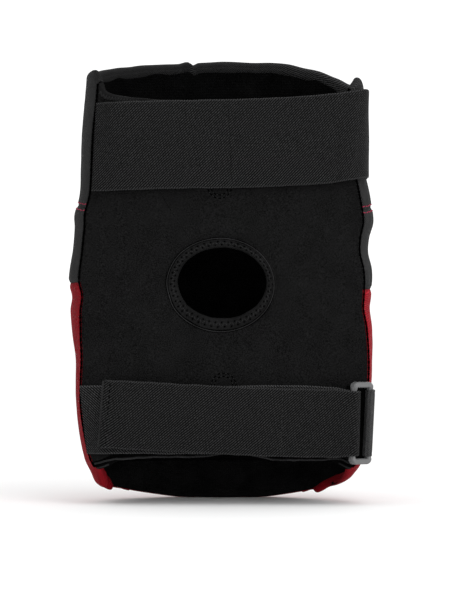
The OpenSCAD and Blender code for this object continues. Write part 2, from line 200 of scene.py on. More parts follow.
def plan(u, z, inset):
    last = seam_angle(u, z)
    a = u * last
    rear_reach = (mid_y(z) - seam_y(z)) / np.abs(np.cos(last)) ** POWER
    reach = np.where(np.abs(a) < math.pi / 2, FRONT_DEPTH - (TOP_LEAN - 3) * lean(z), rear_reach)
    return stacked((half_width(u, z) - inset) * power(np.sin(a), POWER),
                   mid_y(z) + (reach - inset) * power(np.cos(a), POWER), z + 0 * a)


def wall(u, z, depth):
    """A point on the wall, a depth in from the outside of the cover."""
    u, z = np.broadcast_arrays(np.asarray(u, float), np.asarray(z, float))
    outside = plan(u, z, 0)
    inward = unit(plan(u, z, wall_thickness(u, z)) - outside)
    return outside + inward * np.asarray(depth + 0 * u)[..., None]


# ------------------------------------------------------------------ meshes
def link(mesh, name, material, smooth_shaded=True):
    piece = bpy.data.objects.new(name, mesh)
    bpy.context.scene.collection.objects.link(piece)
    mesh.materials.append(material)
    mesh.polygons.foreach_set("use_smooth", [smooth_shaded and face.loop_total < 5 for face in mesh.polygons])
    return piece


def make(name, points, faces, material, uv=None, body="pad", nodes=(), slot=None, blend=None):
    """A piece from points in millimetres, on its body, or baked in place and left on no body when blend is given, and
    in place of its nodes.

    uv is one (u, v) pair a point, in metres along the cloth. blend is two bodies and where one turns to the other;
    these are not used, only whether it is given."""
    mesh = bpy.data.meshes.new(name)
    mesh.from_pydata((np.asarray(points).reshape(-1, 3) * MM).tolist(), [], faces)
    if uv is not None:
        layer = mesh.uv_layers.new(name="Weave")
        index = np.empty(len(mesh.loops), int)
        mesh.loops.foreach_get("vertex_index", index)
        layer.data.foreach_set("uv", np.asarray(uv).reshape(-1, 2)[index].astype(np.float32).ravel())
    work = bmesh.new()
    work.from_mesh(mesh)
    bmesh.ops.recalc_face_normals(work, faces=work.faces)
    work.to_mesh(mesh)
    work.free()
    piece = link(mesh, name, material)
    if blend:
        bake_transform(piece)
    elif body:
        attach(piece, body)
    if nodes:
        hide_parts(*nodes)
    return piece


def quads(rows, cols, start=0, closed=False):
    """Faces of a grid of rows and columns of points. closed joins the last column to the first."""
    last = cols if closed else cols - 1
    return [(start + j * cols + i, start + j * cols + (i + 1) % cols, start + (j + 1) * cols + (i + 1) % cols,
             start + (j + 1) * cols + i) for j in range(rows - 1) for i in range(last)]


def hoop(rows, cols):
    """Faces of a grid of points closed both ways."""
    last = (rows - 1) * cols
    return quads(rows, cols, 0, True) + [(last + i, last + (i + 1) % cols, (i + 1) % cols, i) for i in range(cols)]


def capped(rows, cols):
    """Faces of a grid closed round, and of a fan at each end to the two points that follow it."""
    n = rows * cols
    faces = quads(rows, cols, 0, True) + [(i, n, (i + 1) % cols) for i in range(cols)]
    return faces + [(n - cols + i, n - cols + (i + 1) % cols, n + 1) for i in range(cols)]


def shell(outer, inner, closed=False):
    """Points and faces of a closed shell between two grids."""
    rows, cols = outer.shape[:2]
    n = rows * cols
    faces = quads(rows, cols, 0, closed) + [f[::-1] for f in quads(rows, cols, n, closed)]
    if closed:
        rims = [[*range(cols), 0], [*range(n - cols, n), n - cols]]
    else:
        rims = [[*range(cols), *range(2 * cols - 1, n, cols), *range(n - 2, n - cols - 1, -1),
                 *range(n - 2 * cols, -1, -cols)]]
    for rim in rims:
        faces += [(a, b, b + n, a + n) for a, b in zip(rim, rim[1:])]
    return np.concatenate([outer.reshape(-1, 3), inner.reshape(-1, 3)]), faces


def lengths(grid, axis):
    """Distance along a grid's rows (axis 1) or columns (axis 0), from its first point."""
    step = np.linalg.norm(np.diff(grid, axis=axis), axis=-1)
    total = np.cumsum(step, axis=axis)
    return np.concatenate([np.zeros_like(np.take(total, [0], axis=axis)), total], axis=axis)


def cloth_uv(grid):
    """Distances along the cloth in both directions, in metres, measured from the grid's middle."""
    s, t = lengths(grid, 1), lengths(grid, 0)
    s = s - s[:, s.shape[1] // 2][:, None]
    return stacked(s, t) * MM


def cloth(name, outer, inner, material, closed=False, uv=None, **kw):
    """A piece between two grids, its weave measured along the outer one."""
    points, faces = shell(outer, inner, closed)
    uv = cloth_uv(outer) if uv is None else uv
    return make(name, points, faces, material, uv=np.concatenate([uv.reshape(-1, 2)] * 2), **kw)


def normals(grid):
    """Unit normals of a grid, on the side its rows and columns turn towards."""
    return unit(np.cross(np.gradient(grid, axis=0), np.gradient(grid, axis=1)))


def rail(path, width_dir):
    """Tangent, and two directions across a path of points, the second nearest to width_dir."""
    tangent = unit(np.gradient(path, axis=0))
    w = np.broadcast_to(np.asarray(width_dir, float), path.shape)
    w = unit(w - tangent * np.sum(w * tangent, axis=-1, keepdims=True))
    return tangent, unit(np.cross(tangent, w)), w


def tube(path, radius, sides=10, up=(0, 0, 1), closed=False):
    """Points and faces of a round tube along a path. Its ends are closed with a fan, or joined to each other."""
    path = np.asarray(path, float)
    n = len(path)
    if closed:
        tangent, a, b = (x[2:-2] for x in rail(np.concatenate([path[-2:], path, path[:2]]), up))
    else:
        tangent, a, b = rail(path, up)
    angle = turns(sides)[:, None]
    radius = np.broadcast_to(np.asarray(radius, float), (n,))
    grid = path[:, None] + radius[:, None, None] * (np.cos(angle) * a[:, None] + np.sin(angle) * b[:, None])
    if closed:
        return grid.reshape(-1, 3), hoop(n, sides)
    points = np.concatenate([grid.reshape(-1, 3), path[:1] - tangent[:1] * radius[0] * 0.4,
                             path[-1:] + tangent[-1:] * radius[-1] * 0.4])
    return points, capped(n, sides)


def joined(parts):
    """Several (points, faces) as one."""
    points, faces, start = [], [], 0
    for p, f in parts:
        points.append(np.asarray(p).reshape(-1, 3))
        faces += [tuple(i + start for i in face) for face in f]
        start += len(points[-1])
    return np.concatenate(points), faces


def at_lengths(at, s, values):
    """Rows of values known at the lengths s, at other lengths."""
    return np.stack([np.interp(at, s, column) for column in values.T], axis=-1)


def resample(path, step):
    """The path with evenly spaced points, about a step apart."""
    path = np.asarray(path, float)
    s = lengths(path, 0)
    return at_lengths(np.linspace(0, s[-1], max(2, int(round(s[-1] / step)) + 1)), s, path)


def stitches(path, normal, length=2.6, gap=0.9, radius=0.28, proud=0.12, sway=0.0):
    """A row of thread stitches along a path: each is a short thread that dips in at both ends."""
    path = np.asarray(path, float)
    s = lengths(path, 0)
    count = max(1, int(s[-1] / (length + gap)))
    pitch = s[-1] / count
    t = np.linspace(0, 1, 5)
    arch = proud + (radius + proud) * (np.sin(math.pi * t) - 1)
    thick = radius * (0.75 + 0.25 * np.sin(math.pi * t))
    parts = []
    for k in range(count):
        at = (k + 0.5 + (t - 0.5) * length / (length + gap)) * pitch
        here, n = at_lengths(at, s, path), at_lengths(at, s, normal)
        side = unit(np.cross(np.gradient(here, axis=0), n)) * (sway * (1 if k % 2 else -1)) * (t - 0.5)[:, None]
        parts.append(tube(here + unit(n) * arch[:, None] + side, thick, 6, up=n[2]))
    return joined(parts)


# ------------------------------------------------------------------ materials
class Material:
    """A node material, with short calls for the nodes used here."""

    def __init__(self, name, rough=0.8, sheen=0.0, specular=0.5, metallic=0.0):
        self.material = bpy.data.materials.new(name)
        self.material.use_nodes = True
        self.tree = self.material.node_tree
        self.shader = self.tree.nodes["Principled BSDF"]
        for socket, value in (("Roughness", rough), ("Sheen Weight", sheen), ("Specular IOR Level", specular),
                              ("Metallic", metallic), ("Sheen Roughness", 0.45)):
            self.shader.inputs[socket].default_value = value

    def node(self, kind, **values):
        made = self.tree.nodes.new(kind)
        for name, value in values.items():
            setattr(made, name, value)
        return made

    def wire(self, value, socket):
        if isinstance(value, bpy.types.NodeSocket):
            self.tree.links.new(value, socket)
        else:
            socket.default_value = value

    def math(self, operation, a, b=0.0, c=0.5, clamp=False):
        """An operation on a and b, and on c where it takes three."""
        made = self.node("ShaderNodeMath", operation=operation, use_clamp=clamp)
        for value, socket in zip((a, b, c), made.inputs):
            self.wire(value, socket)
        return made.outputs[0]

    def add(self, a, b, clamp=False):
        return self.math("ADD", a, b, clamp=clamp)

    def mul(self, a, b, clamp=False):
        return self.math("MULTIPLY", a, b, clamp=clamp)

    def half(self, x):
        """From -1 to 1 brought to 0 to 1."""
        return self.math("MULTIPLY_ADD", x, 0.5, 0.5)

    def wave(self, x, period):
        """From 0 to 1 and back over each period of x."""
        return self.half(self.math("SINE", self.mul(x, math.tau / period)))

    def cloth_axes(self):
        """Millimetres along and across the cloth."""
        uv = self.node("ShaderNodeUVMap", uv_map="Weave")
        split = self.node("ShaderNodeSeparateXYZ")
        self.tree.links.new(uv.outputs[0], split.inputs[0])
        return self.mul(split.outputs[0], 1 / MM), self.mul(split.outputs[1], 1 / MM)

    def noise(self, size, detail=2.0, seed=0.0):
        """Noise over the object, with features about size millimetres across."""
        place = self.node("ShaderNodeTexCoord")
        made = self.node("ShaderNodeTexNoise", noise_dimensions="4D")
        made.inputs["Scale"].default_value = 1 / (size * MM)
        made.inputs["Detail"].default_value = detail
        made.inputs["W"].default_value = seed
        self.tree.links.new(place.outputs["Object"], made.inputs["Vector"])
        return made.outputs[0]

    def colour(self, factor, low, high):
        """The base colour, from low to high as the factor rises. Sockets 6 and 7 are the mix's two colours."""
        made = self.node("ShaderNodeMix", data_type="RGBA")
        self.wire(factor, made.inputs[0])
        made.inputs[6].default_value, made.inputs[7].default_value = (*low, 1), (*high, 1)
        self.tree.links.new(made.outputs[2], self.shader.inputs["Base Color"])

    def rough(self, factor, low, high):
        made = self.node("ShaderNodeMapRange")
        self.wire(factor, made.inputs[0])
        made.inputs[3].default_value, made.inputs[4].default_value = low, high
        self.tree.links.new(made.outputs[0], self.shader.inputs["Roughness"])

    def bump(self, height, depth):
        """Raises the surface by depth millimetres where height is 1."""
        made = self.node("ShaderNodeBump")
        made.inputs["Distance"].default_value = depth * MM
        self.wire(height, made.inputs["Height"])
        self.tree.links.new(made.outputs[0], self.shader.inputs["Normal"])


def grey(level):
    return (level, level, level * 1.02)


def nylon(name, dark, light):
    """A coarse twill of thick yarns, each a slightly different shade."""
    m = Material(name, rough=0.75, sheen=0.01, specular=0.06)
    x, y = m.cloth_axes()
    diagonal = m.math("POWER", m.wave(m.add(x, y), 1.25), 1.8)
    yarns = m.mul(m.wave(x, 0.8), m.wave(y, 0.8))
    weave = m.add(m.mul(diagonal, 1.5), m.mul(yarns, 0.3))
    mottle = m.add(m.noise(0.9, 2), m.mul(m.noise(14, 3, 2.0), 0.4))
    tone = m.math("SUBTRACT", m.add(weave, m.mul(mottle, 0.9)), 0.6)
    m.colour(m.mul(tone, 0.8, clamp=True), dark, light)
    m.rough(m.noise(9, 3, 5.0), 0.66, 0.86)
    m.bump(m.add(weave, m.mul(m.noise(0.6, 2, 1.0), 0.6)), 0.2)
    return m.material


def elastic(name, width, lean_to=1, light=0.042):
    """Woven elastic: diagonal ribs of short floats, and a paler selvedge along both edges."""
    m = Material(name, rough=0.75, sheen=0.0, specular=0.06)
    x, y = m.cloth_axes()
    s, c = math.sin(math.radians(43)), math.cos(math.radians(43))
    across = m.math("SUBTRACT", m.mul(x, s), m.mul(y, c * lean_to))
    length = m.add(m.mul(x, c), m.mul(y, s * lean_to))
    across = m.add(across, m.mul(m.noise(3.5, 1, 6.0), 0.5))
    rib = m.math("POWER", m.wave(across, RIB), 2.2)
    step = m.mul(m.math("FLOOR", m.math("DIVIDE", across, RIB)), 2.4)
    floats = m.half(m.math("SINE", m.add(m.mul(length, math.tau / 1.9), step)))
    height = m.mul(rib, m.math("MULTIPLY_ADD", floats, 0.45, 0.5))
    uneven = m.math("MULTIPLY_ADD", m.noise(1.1, 2), 2.4, -0.25)
    edge = m.math("SUBTRACT", m.math("ABSOLUTE", y), width / 2 - 1.1)
    selvedge = m.mul(m.mul(edge, 1.5, clamp=True), m.wave(x, 1.3))
    tone = m.add(m.mul(height, uneven), m.mul(selvedge, 0.55), clamp=True)
    m.colour(tone, grey(0.0), grey(light))
    m.rough(m.noise(6, 2, 4.0), 0.68, 0.84)
    m.bump(m.add(height, m.mul(m.noise(0.5, 1), 0.25)), 0.26)
    return m.material


def herringbone(name, dark, light):
    """Narrow webbing woven in zigzag columns."""
    m = Material(name, rough=0.65, sheen=0.02, specular=0.15)
    x, y = m.cloth_axes()
    zigzag = m.math("PINGPONG", x, 0.9)
    rib = m.wave(m.add(y, zigzag), 0.95)
    column = m.wave(x, 1.8)
    height = m.mul(rib, m.math("MULTIPLY_ADD", column, 0.3, 0.5))
    m.colour(m.add(height, m.math("SUBTRACT", m.noise(1.2, 2), 0.5), clamp=True), dark, light)
    m.bump(height, 0.2)
    return m.material


def knit(name, dark, light, pitch=0.45, depth=0.05, rough=0.85, speckle=0.5, specular=0.06):
    """A fine smooth knit, such as the face of a foam-backed stretch fabric."""
    m = Material(name, rough=rough, specular=specular)
    x, y = m.cloth_axes()
    loops = m.mul(m.wave(x, pitch), m.wave(y, pitch * 1.2))
    cloudy = m.noise(11, 4, 3.0)
    grain = m.noise(0.6, 3)
    tone = m.add(m.mul(grain, speckle), m.mul(cloudy, 1 - speckle))
    m.colour(m.math("SUBTRACT", m.mul(tone, 3.0), 1.1, clamp=True), dark, light)
    m.rough(cloudy, rough - 0.08, rough + 0.08)
    m.bump(m.add(loops, m.mul(grain, 1.2)), depth)
    return m.material


def plastic(name, dark, light, rough=(0.35, 0.5), grain=0.5, depth=0.02, specular=0.5):
    """Moulded plastic with a fine spark-eroded grain and faint handling marks."""
    m = Material(name, specular=specular)
    m.colour(m.noise(18, 4), dark, light)
    scuffs = m.noise(3.5, 5, 8.0)
    m.rough(scuffs, *rough)
    m.bump(m.add(m.noise(grain, 2), m.mul(scuffs, 0.3)), depth)
    return m.material


def metal(name, level, rough=(0.2, 0.36)):
    m = Material(name, metallic=1.0)
    m.colour(m.noise(3, 3), grey(level * 0.8), grey(level))
    m.rough(m.noise(1.2, 4, 2.0), *rough)
    m.bump(m.noise(0.5, 2), 0.01)
    return m.material


def thread(name, dark, light):
    """Twisted sewing thread."""
    m = Material(name, rough=0.55, sheen=0.03, specular=0.15)
    twist = m.noise(0.35, 1)
    m.colour(twist, dark, light)
    m.bump(twist, 0.06)
    return m.material


def pile(name, dark, light, size=0.9, depth=0.5, rough=0.9):
    """The face of a hook or loop patch."""
    m = Material(name, rough=rough, sheen=0.05, specular=0.12)
    x, y = m.cloth_axes()
    rows = m.mul(m.wave(x, size * 1.6), m.wave(y, size * 1.3))
    height = m.add(rows, m.noise(size * 0.5, 3))
    m.colour(m.mul(height, 0.6, clamp=True), dark, light)
    m.bump(height, depth)
    return m.material


BLACK_NYLON = nylon("black_nylon", grey(0.001), grey(0.032))
RED_NYLON = nylon("red_nylon", (0.13, 0.001, 0.004), (0.30, 0.004, 0.012))
STRETCH = knit("stretch_knit", grey(0.0), grey(0.0115), speckle=0.8)
LINING_KNIT = knit("lining_knit", grey(0.0), grey(0.005), pitch=1.3, depth=0.25, rough=0.95, speckle=0.7,
                   specular=0.01)
# A lighter copy of the lining knit for the lining low inside the lip: painted light, where more light reaches it.
LINING_PAINTED_LIGHT = knit("lining_painted_light", grey(0.0), grey(0.013), pitch=1.1, depth=0.2, rough=0.95, speckle=0.7,
                   specular=0.01)
BINDING = knit("binding_tape", grey(0.002), grey(0.012), pitch=0.7, depth=0.12, rough=0.8)
# Near-black, barely shiny tape: painted shade, on the rear panel's bottom strip and under the ring.
TAPE_PAINTED_SHADE = knit("tape_painted_shade", grey(0.0005), grey(0.003), pitch=0.7, depth=0.12, rough=0.85, specular=0.02)
# A lighter copy of the binding tape: the vent's real piping, and painted highlight on the bottom binding's rolled
# cords and the tail's folded hem.
PIPING_AND_EDGE_HIGHLIGHT = knit("piping_and_edge_highlight", grey(0.006), grey(0.03), pitch=0.7, depth=0.12, rough=0.75)
ELASTIC_UPPER = elastic("elastic_upper", UPPER_W)
ELASTIC_LOWER = elastic("elastic_lower", LOWER_W)
ELASTIC_UNDER = elastic("elastic_under", LOWER_W, lean_to=-1, light=0.065)
KEEPER_WEB = herringbone("keeper_webbing", grey(0.002), grey(0.085))
RING_PLASTIC = plastic("ring_plastic", grey(0.08), grey(0.11), rough=(0.3, 0.42), specular=0.45)
CAP_PLASTIC = plastic("cap_plastic", grey(0.012), grey(0.02), rough=(0.38, 0.6), grain=0.8, depth=0.05)
STEEL = metal("rivet_steel", 0.62)
WASHER_STEEL = metal("washer_steel", 0.5, rough=(0.35, 0.5))
FOAM = knit("foam", grey(0.02), grey(0.05), pitch=1.5, depth=0.3, rough=0.92, speckle=0.8)
# Near-black and unshiny: painted shade in the side seams' creases, round the vent's piping, in its stitch holes and
# under the round tacks; also the real thread of the bottom strip's zigzag and the tail's hem stitches, darkened as
# painted shade.
THREAD_AND_GROOVE_SHADE = knit("thread_and_groove_shade", grey(0.0), grey(0.0008), pitch=0.7, depth=0.1, rough=0.95, specular=0.0)
RED_THREAD = thread("red_thread", (0.16, 0.004, 0.02), (0.38, 0.014, 0.06))
BLACK_THREAD = thread("black_thread", grey(0.002), grey(0.02))
HOOKS = pile("hook_face", grey(0.002), grey(0.02), size=1.1, depth=0.5, rough=0.6)
LOOPS = pile("loop_face", grey(0.003), grey(0.014), size=0.7, depth=0.4)


# ------------------------------------------------------------------ seams, and how the cover swells between them
CLOTH = 0.9  # thickness of the cover's fabric
SHEET_COLS, SHEET_ROWS = 121, 91
MOST_SWELL, QUICK_SWELL = 2.4, 1.2
CLOTH_FRAMES = 20
CLOTH_SETTINGS = dict(quality=6, mass=0.25, tension_stiffness=12, compression_stiffness=12, shear_stiffness=6,
                      bending_stiffness=0.4, use_pressure=True, uniform_pressure_force=4, shrink_min=-0.03)
RIM, LIP = 3.4, 3.5  # heights of the rolls over the rim and round the lip
RIM_TUCK = 4.8  # how far the cover comes down inside the rim
TURNUP = 5.5  # how far the lip's roll comes up inside at its ends
LIGHT_LINING_TOP = 22  # where the lining low inside the lip, painted lighter, meets the rest of the lining
SEAM_ROW = 1.75  # from the upper seam to the rows of stitches above and below it


def stitched_seam(u):
    return SEAM_STITCHED + 0.65 - 0.7 * u - 1.9 * smooth((np.abs(u) - 0.8) / 0.2)


def colour_seam(u):
    return SEAM_RED - 1 - 2 * u


def cap_half_angle(q):
    """Half the cap's angle round the wall in radians, at a height from -1 to 1 on it."""
    return math.radians(CAP_ANGLE) * (1 - CAP_TAPER * q)


def on_cap(u, z):
    """Where a point of the wall is on the cap, from -1 to 1 both ways."""
    q = (z - CAP_Z) / CAP_HALF_H
    return u * seam_angle(0, z) / cap_half_angle(q), q


def clear_of_cap(u, z):
    """0 under the cap, rising to 1 a little way outside its outline."""
    p, q = on_cap(u, z)
    return smooth((np.maximum(p * p + q * q / 1.6, q * q + p * p / 1.6) - 0.97) / 0.3)


def sewn_down(u, z):
    """1 on the cover's seams and edges, falling to 0 between them."""
    side = bump(np.abs(u), 1, 0.02)
    ends = np.maximum(bump(z, bottom_edge(u), 2.5), bump(z, top_edge(u), 2.5))
    seams = np.maximum(bump(z, stitched_seam(u), 1.8), bump(z, colour_seam(u), 1.8))
    return np.maximum(np.maximum(side, ends), seams)


def inflate(u, z):
    """How far each point of the cover swells, in millimetres, found by inflating it between its seams."""
    flat = wall(u, z, 0)
    sheet = make("cover_sheet", flat, quads(*u.shape), bpy.data.materials.new("cover_sheet"), body=None)
    sewn = sheet.vertex_groups.new(name="sewn")
    sewn.add(np.flatnonzero(sewn_down(u, z).ravel() > 0.55).tolist(), 1.0, "REPLACE")
    settings = sheet.modifiers.new("cloth", "CLOTH").settings
    settings.vertex_group_mass = sewn.name
    for name, value in CLOTH_SETTINGS.items():
        setattr(settings, name, value)
    settings.effector_weights.gravity = 0
    for number in range(CLOTH_FRAMES):
        bpy.context.scene.frame_set(number + 1)
    puffed = sheet.evaluated_get(bpy.context.evaluated_depsgraph_get()).data
    points = np.empty(len(puffed.vertices) * 3)
    puffed.vertices.foreach_get("co", points)
    bpy.data.objects.remove(sheet)
    bpy.context.scene.frame_set(1)
    outward = unit(flat - wall(u, z, 1))
    out = np.sum((points.reshape(flat.shape) / MM - flat) * outward, axis=-1)
    return np.clip(np.abs(out), 0, MOST_SWELL)


sheet_u = np.linspace(-1, 1, SHEET_COLS)[None, :] + np.zeros((SHEET_ROWS, 1))
sheet_z = lerp(bottom_edge(sheet_u), top_edge(sheet_u), np.linspace(0, 1, SHEET_ROWS)[:, None])
sheet_swell = inflate(sheet_u, sheet_z)


def swell(u, z):
    """The simulated swell at any point of the wall."""
    v = (z - bottom_edge(u)) / (top_edge(u) - bottom_edge(u))
    x = np.clip((u + 1) / 2, 0, 1) * (SHEET_COLS - 1)
    y = np.clip(v, 0, 1) * (SHEET_ROWS - 1)
    i = np.clip(x.astype(int), 0, SHEET_COLS - 2)
    j = np.clip(y.astype(int), 0, SHEET_ROWS - 2)
    x, y = x - i, y - j
    low = lerp(sheet_swell[j, i], sheet_swell[j, i + 1], x)
    return lerp(low, lerp(sheet_swell[j + 1, i], sheet_swell[j + 1, i + 1], x), y)


def lift(u, z):
    """How far the cover stands out from its pattern: swell and puckers, less the grooves of its seams."""
    across = u * 165
    seam = np.maximum(bump(z, stitched_seam(u), 1.5), bump(z, colour_seam(u), 1.3))
    near = np.maximum(bump(z, stitched_seam(u), 13), bump(z, colour_seam(u), 13))
    puckers = 0.45 * near * ripple(across, z * 0.4, 15, 3) + 0.3 * ripple(across, z, 34, 4)
    flank = smooth((np.abs(u) - 0.55) / 0.15)
    side = smooth((np.abs(u) - 0.99) / 0.01)
    between = swell(u, z) * (1 - 0.9 * flank) + puckers * (1 - 0.6 * flank) - 0.9 * seam
    return clear_of_cap(u, z) * between - 1.6 * side


def lip_lobes(u):
    """The gathered folds at both ends of the lip."""
    return (2.2 * bump(u, -0.69, 0.04) + 3.7 * bump(u, -0.885, 0.06) - 0.8 * bump(u, -0.765, 0.025)
            + 2.6 * bump(u, 0.565, 0.045))


def lip_turnup(u):
    """How far the lip's roll comes up inside: only at its ends."""
    return TURNUP * smooth((np.abs(u + 0.03) - 0.45) / 0.3)


def rim_pleat(u):
    """The tuck in the rolled rim, and the soft unevenness along it."""
    return 0.9 * bump(u, -0.12, 0.02) - 1.5 * bump(u, -0.0945, 0.011) + 0.25 * ripple(u * 165, 0, 30, 6)


# ------------------------------------------------------------------ front panel
WALL_COLS = 261


def columns():
    return crowded(WALL_COLS)[None, :]


def upright(low, high, count):
    """Heights of rows between two edges."""
    u = columns()
    return lerp(low(u), high(u), np.linspace(0, 1, count)[:, None])


def cover_face(z):
    u = columns() + 0 * z
    return wall(u, z, -lift(u, z))


def rim_roll(u):
    """The cover's way over the rim and down inside it."""
    phi = np.linspace(0, math.pi, 17)[1:, None]
    top = top_edge(u) - RIM + rim_pleat(u)
    thick = wall_thickness(u, top)
    sag = bump(phi, math.pi * 0.75, 0.9) * 0.8 * (1 - smooth((np.abs(u) - 0.7) / 0.3))
    over = wall(u, top + RIM * np.sin(phi), thick / 2 * (1 - np.cos(phi)) + sag)
    down = np.linspace(0, 1, 8)[1:, None]
    tuck = RIM_TUCK * (1 - 0.6 * smooth((np.abs(u) - 0.8) / 0.2)) + 0.15 * ripple(u * 165, 0, 16, 9)
    full = 0.8 * (1 - down ** 2) * (1 - smooth((np.abs(u) - 0.7) / 0.3))
    return np.concatenate([over, wall(u, top - tuck * down, thick + full - 1.3 * down ** 6)])


def lip_roll(u):
    """The cover's way round the lip, up to where the lining begins."""
    turnup = lip_turnup(u)
    turned = turnup / TURNUP
    phi = np.linspace(0, 1, 15)[1:, None] * math.pi * lerp(0.6, 0.95, turned)
    low = bottom_edge(u) + LIP
    lobe = lip_lobes(u)
    thick = wall_thickness(u, low) + 0.7 * turned
    depth = thick / 2 * (1 - np.cos(phi)) + lobe * 0.7 * np.sin(phi / 2)
    height = np.maximum(low - (LIP + np.minimum(lobe, low - 0.2)) * np.sin(phi), 0.05)
    up = np.linspace(0, 1, 6)[1:, None]
    inside = depth[-1:] + (0.3 * np.sin(math.pi * up) - 1.2 * up ** 4) * turned
    return np.concatenate([wall(u, height, depth), wall(u, height[-1:] + turnup * up, inside)])


def fabric(name, face, material, nodes, slot):
    """A piece of the cover from the grid of its outside."""
    cloth(name, face, face - normals(face) * CLOTH, material, nodes=nodes, slot=slot)


upper = cover_face(upright(stitched_seam, lambda u: top_edge(u) - RIM, 62))
upper = np.concatenate([upper, rim_roll(columns())])
fabric("upper_cover_and_rim", upper, BLACK_NYLON, ("upper_cover", "top_hem"), "black_cover")
middle = cover_face(upright(colour_seam, stitched_seam, 40))
fabric("middle_cover_fabric", middle, BLACK_NYLON, ("middle_cover",), "black_cover")
lower = cover_face(upright(lambda u: bottom_edge(u) + LIP, colour_seam, 84))
lower = np.concatenate([lip_roll(columns())[::-1], lower])
fabric("lower_cover_and_lip", lower, RED_NYLON, ("lower_cover", "bottom_hem"), "red_cover")


def foam_core(name, near, far, node):
    """A slab of foam in the wall between two depths."""
    u = np.linspace(-0.985, 0.985, 121)[None, :]
    z = lerp(bottom_edge(u) + 4.5, top_edge(u) - 5, np.linspace(0, 1, 81)[:, None])
    u = u + 0 * z
    cloth(name, wall(u, z, near(u, z)), wall(u, z, far(u, z)), FOAM, nodes=(node,), slot="foam")


def inner_thickness(u, z):
    return wall_thickness(u, z) - LINING - 0.3


def washer_pockets(u, z):
    """How far the foam draws back round the rivets' washers."""
    p, q = on_cap(u, z)
    near = np.hypot((np.abs(p) - 0.70) * 48, (np.abs(q) - 0.73) * 60)
    return 3.1 * smooth((11 - near) / 3)


def foam_split(u, z, side):
    """The depth where the two foams meet, a little to one side of it."""
    return lerp(COVER, inner_thickness(u, z), 0.6) + 0.1 * side


foam_core("impact_foam_slab", lambda u, z: COVER + 0.4 + washer_pockets(u, z),
          lambda u, z: np.maximum(foam_split(u, z, -1), COVER + 0.6 + washer_pockets(u, z)), "impact_foam")
foam_core("comfort_foam_slab", lambda u, z: np.maximum(foam_split(u, z, 1), COVER + 0.8 + washer_pockets(u, z)),
          inner_thickness, "comfort_foam")


def lining(name, low, high, rows, material, nodes=()):
    """Knit over the inside of the foam, quilted a little by it."""
    z = upright(low, high, rows)
    u = columns() * 0.995 + 0 * z
    quilting = 0.5 * ripple(u * 150, z, 26, 12) * smooth((1 - np.abs(u)) / 0.1)
    inward = wall_thickness(u, z) + quilting + 0.25 - 1.3 * bump(z, bottom_edge(u), 1.4)
    cloth(name, wall(u, z, inward), wall(u, z, inward - LINING), material, nodes=nodes, slot="lining_knit")


lining("front_lining_knit", lambda u: LIGHT_LINING_TOP + 0.4 * u, lambda u: top_edge(u) - RIM - 1.2, 100, LINING_KNIT,
       nodes=("front_lining",))
# The lining low inside the lip, in the lighter copy of the lining knit: painted light.
lining("lip_lining_painted_light", lambda u: bottom_edge(u) + 0.3, lambda u: LIGHT_LINING_TOP + 0.4 * u, 24, LINING_PAINTED_LIGHT)


def seam_rows():
    """Two rows of red stitches along the upper seam, one on each side of it."""
    parts = []
    u = np.linspace(-0.995, 0.995, 420)
    for offset in (-SEAM_ROW, SEAM_ROW):
        z = stitched_seam(u) + offset
        keep = clear_of_cap(u, z) > 0.2
        for side in (keep & (u < 0), keep & (u > 0)):
            here = u[side], z[side]
            face = wall(*here, -lift(*here))
            parts.append(stitches(face, unit(face - wall(*here, 2)), length=2.5, proud=0.16, sway=0.5))
    make("cover_stitches", *joined(parts), RED_THREAD)


seam_rows()


# ------------------------------------------------------------------ rear panel
def rear_bottom(s):
    return along(REAR_BOTTOM, s)


def rear_top(s):
    return along(REAR_TOP, s)


def rear(s, z, depth):
    """A point on the rear panel, a depth in from its outside."""
    s, z = np.broadcast_arrays(np.asarray(s, float), np.asarray(z, float))
    side = np.where(s < 0, -1.0, 1.0)
    edge, tangent = wall(side, z, 0), unit(plan(side, z, 0) - plan(side * 0.998, z, 0))
    inward = unit(wall(side, z, 1) - edge)
    seam = edge + tangent * 0.35
    k = (np.abs(s) ** 3)[..., None]
    normal = unit(lerp(np.array([0.0, 1.0, 0.0]), inward, k))
    out = stacked(np.abs(s) * seam[..., 0], seam[..., 1] - REAR_BOW * (1 - s * s), z)
    return out + normal * np.asarray(depth + 0 * s)[..., None]


def rear_dip(s, z):
    """The panel dips into its side seams, and is otherwise softly uneven."""
    x = s * 75
    return 1.6 * smooth((np.abs(s) - 0.988) / 0.012) - 0.22 * ripple(x, z, 60, 21) * (1 - s ** 4)


def across_rear(x, z):
    """How far across the panel a point is, from -1 to 1, given its x."""
    return x / rear(1, z, 0)[..., 0]


def vent_s(angle, out):
    """(s, z) round the vent, at a distance out from its edge."""
    t = out / VENT_BINDING
    x, z = (lerp(a, b, t) + lerp(p, q, t) * way for a, b, p, q, way in
            zip(VENT_HOLE[0], VENT_PIPING[0], VENT_HOLE[1], VENT_PIPING[1], (np.cos(angle), np.sin(angle))))
    return across_rear(x, z), z


def rear_outline():
    """(s, z) points round the panel, anticlockwise from the lower left corner."""
    s = np.linspace(-1, 1, 81)
    inset = 2.5
    low, high = rear_bottom(s) + inset, rear_top(s) - inset
    rise = np.linspace(0, 1, 101)[1:-1]
    right, left = lerp(low[-1], high[-1], rise), lerp(high[0], low[0], rise)
    return np.concatenate([stacked(s, low), stacked(0 * right + 1, right),
                           stacked(s, high)[::-1], stacked(0 * left - 1, left)])


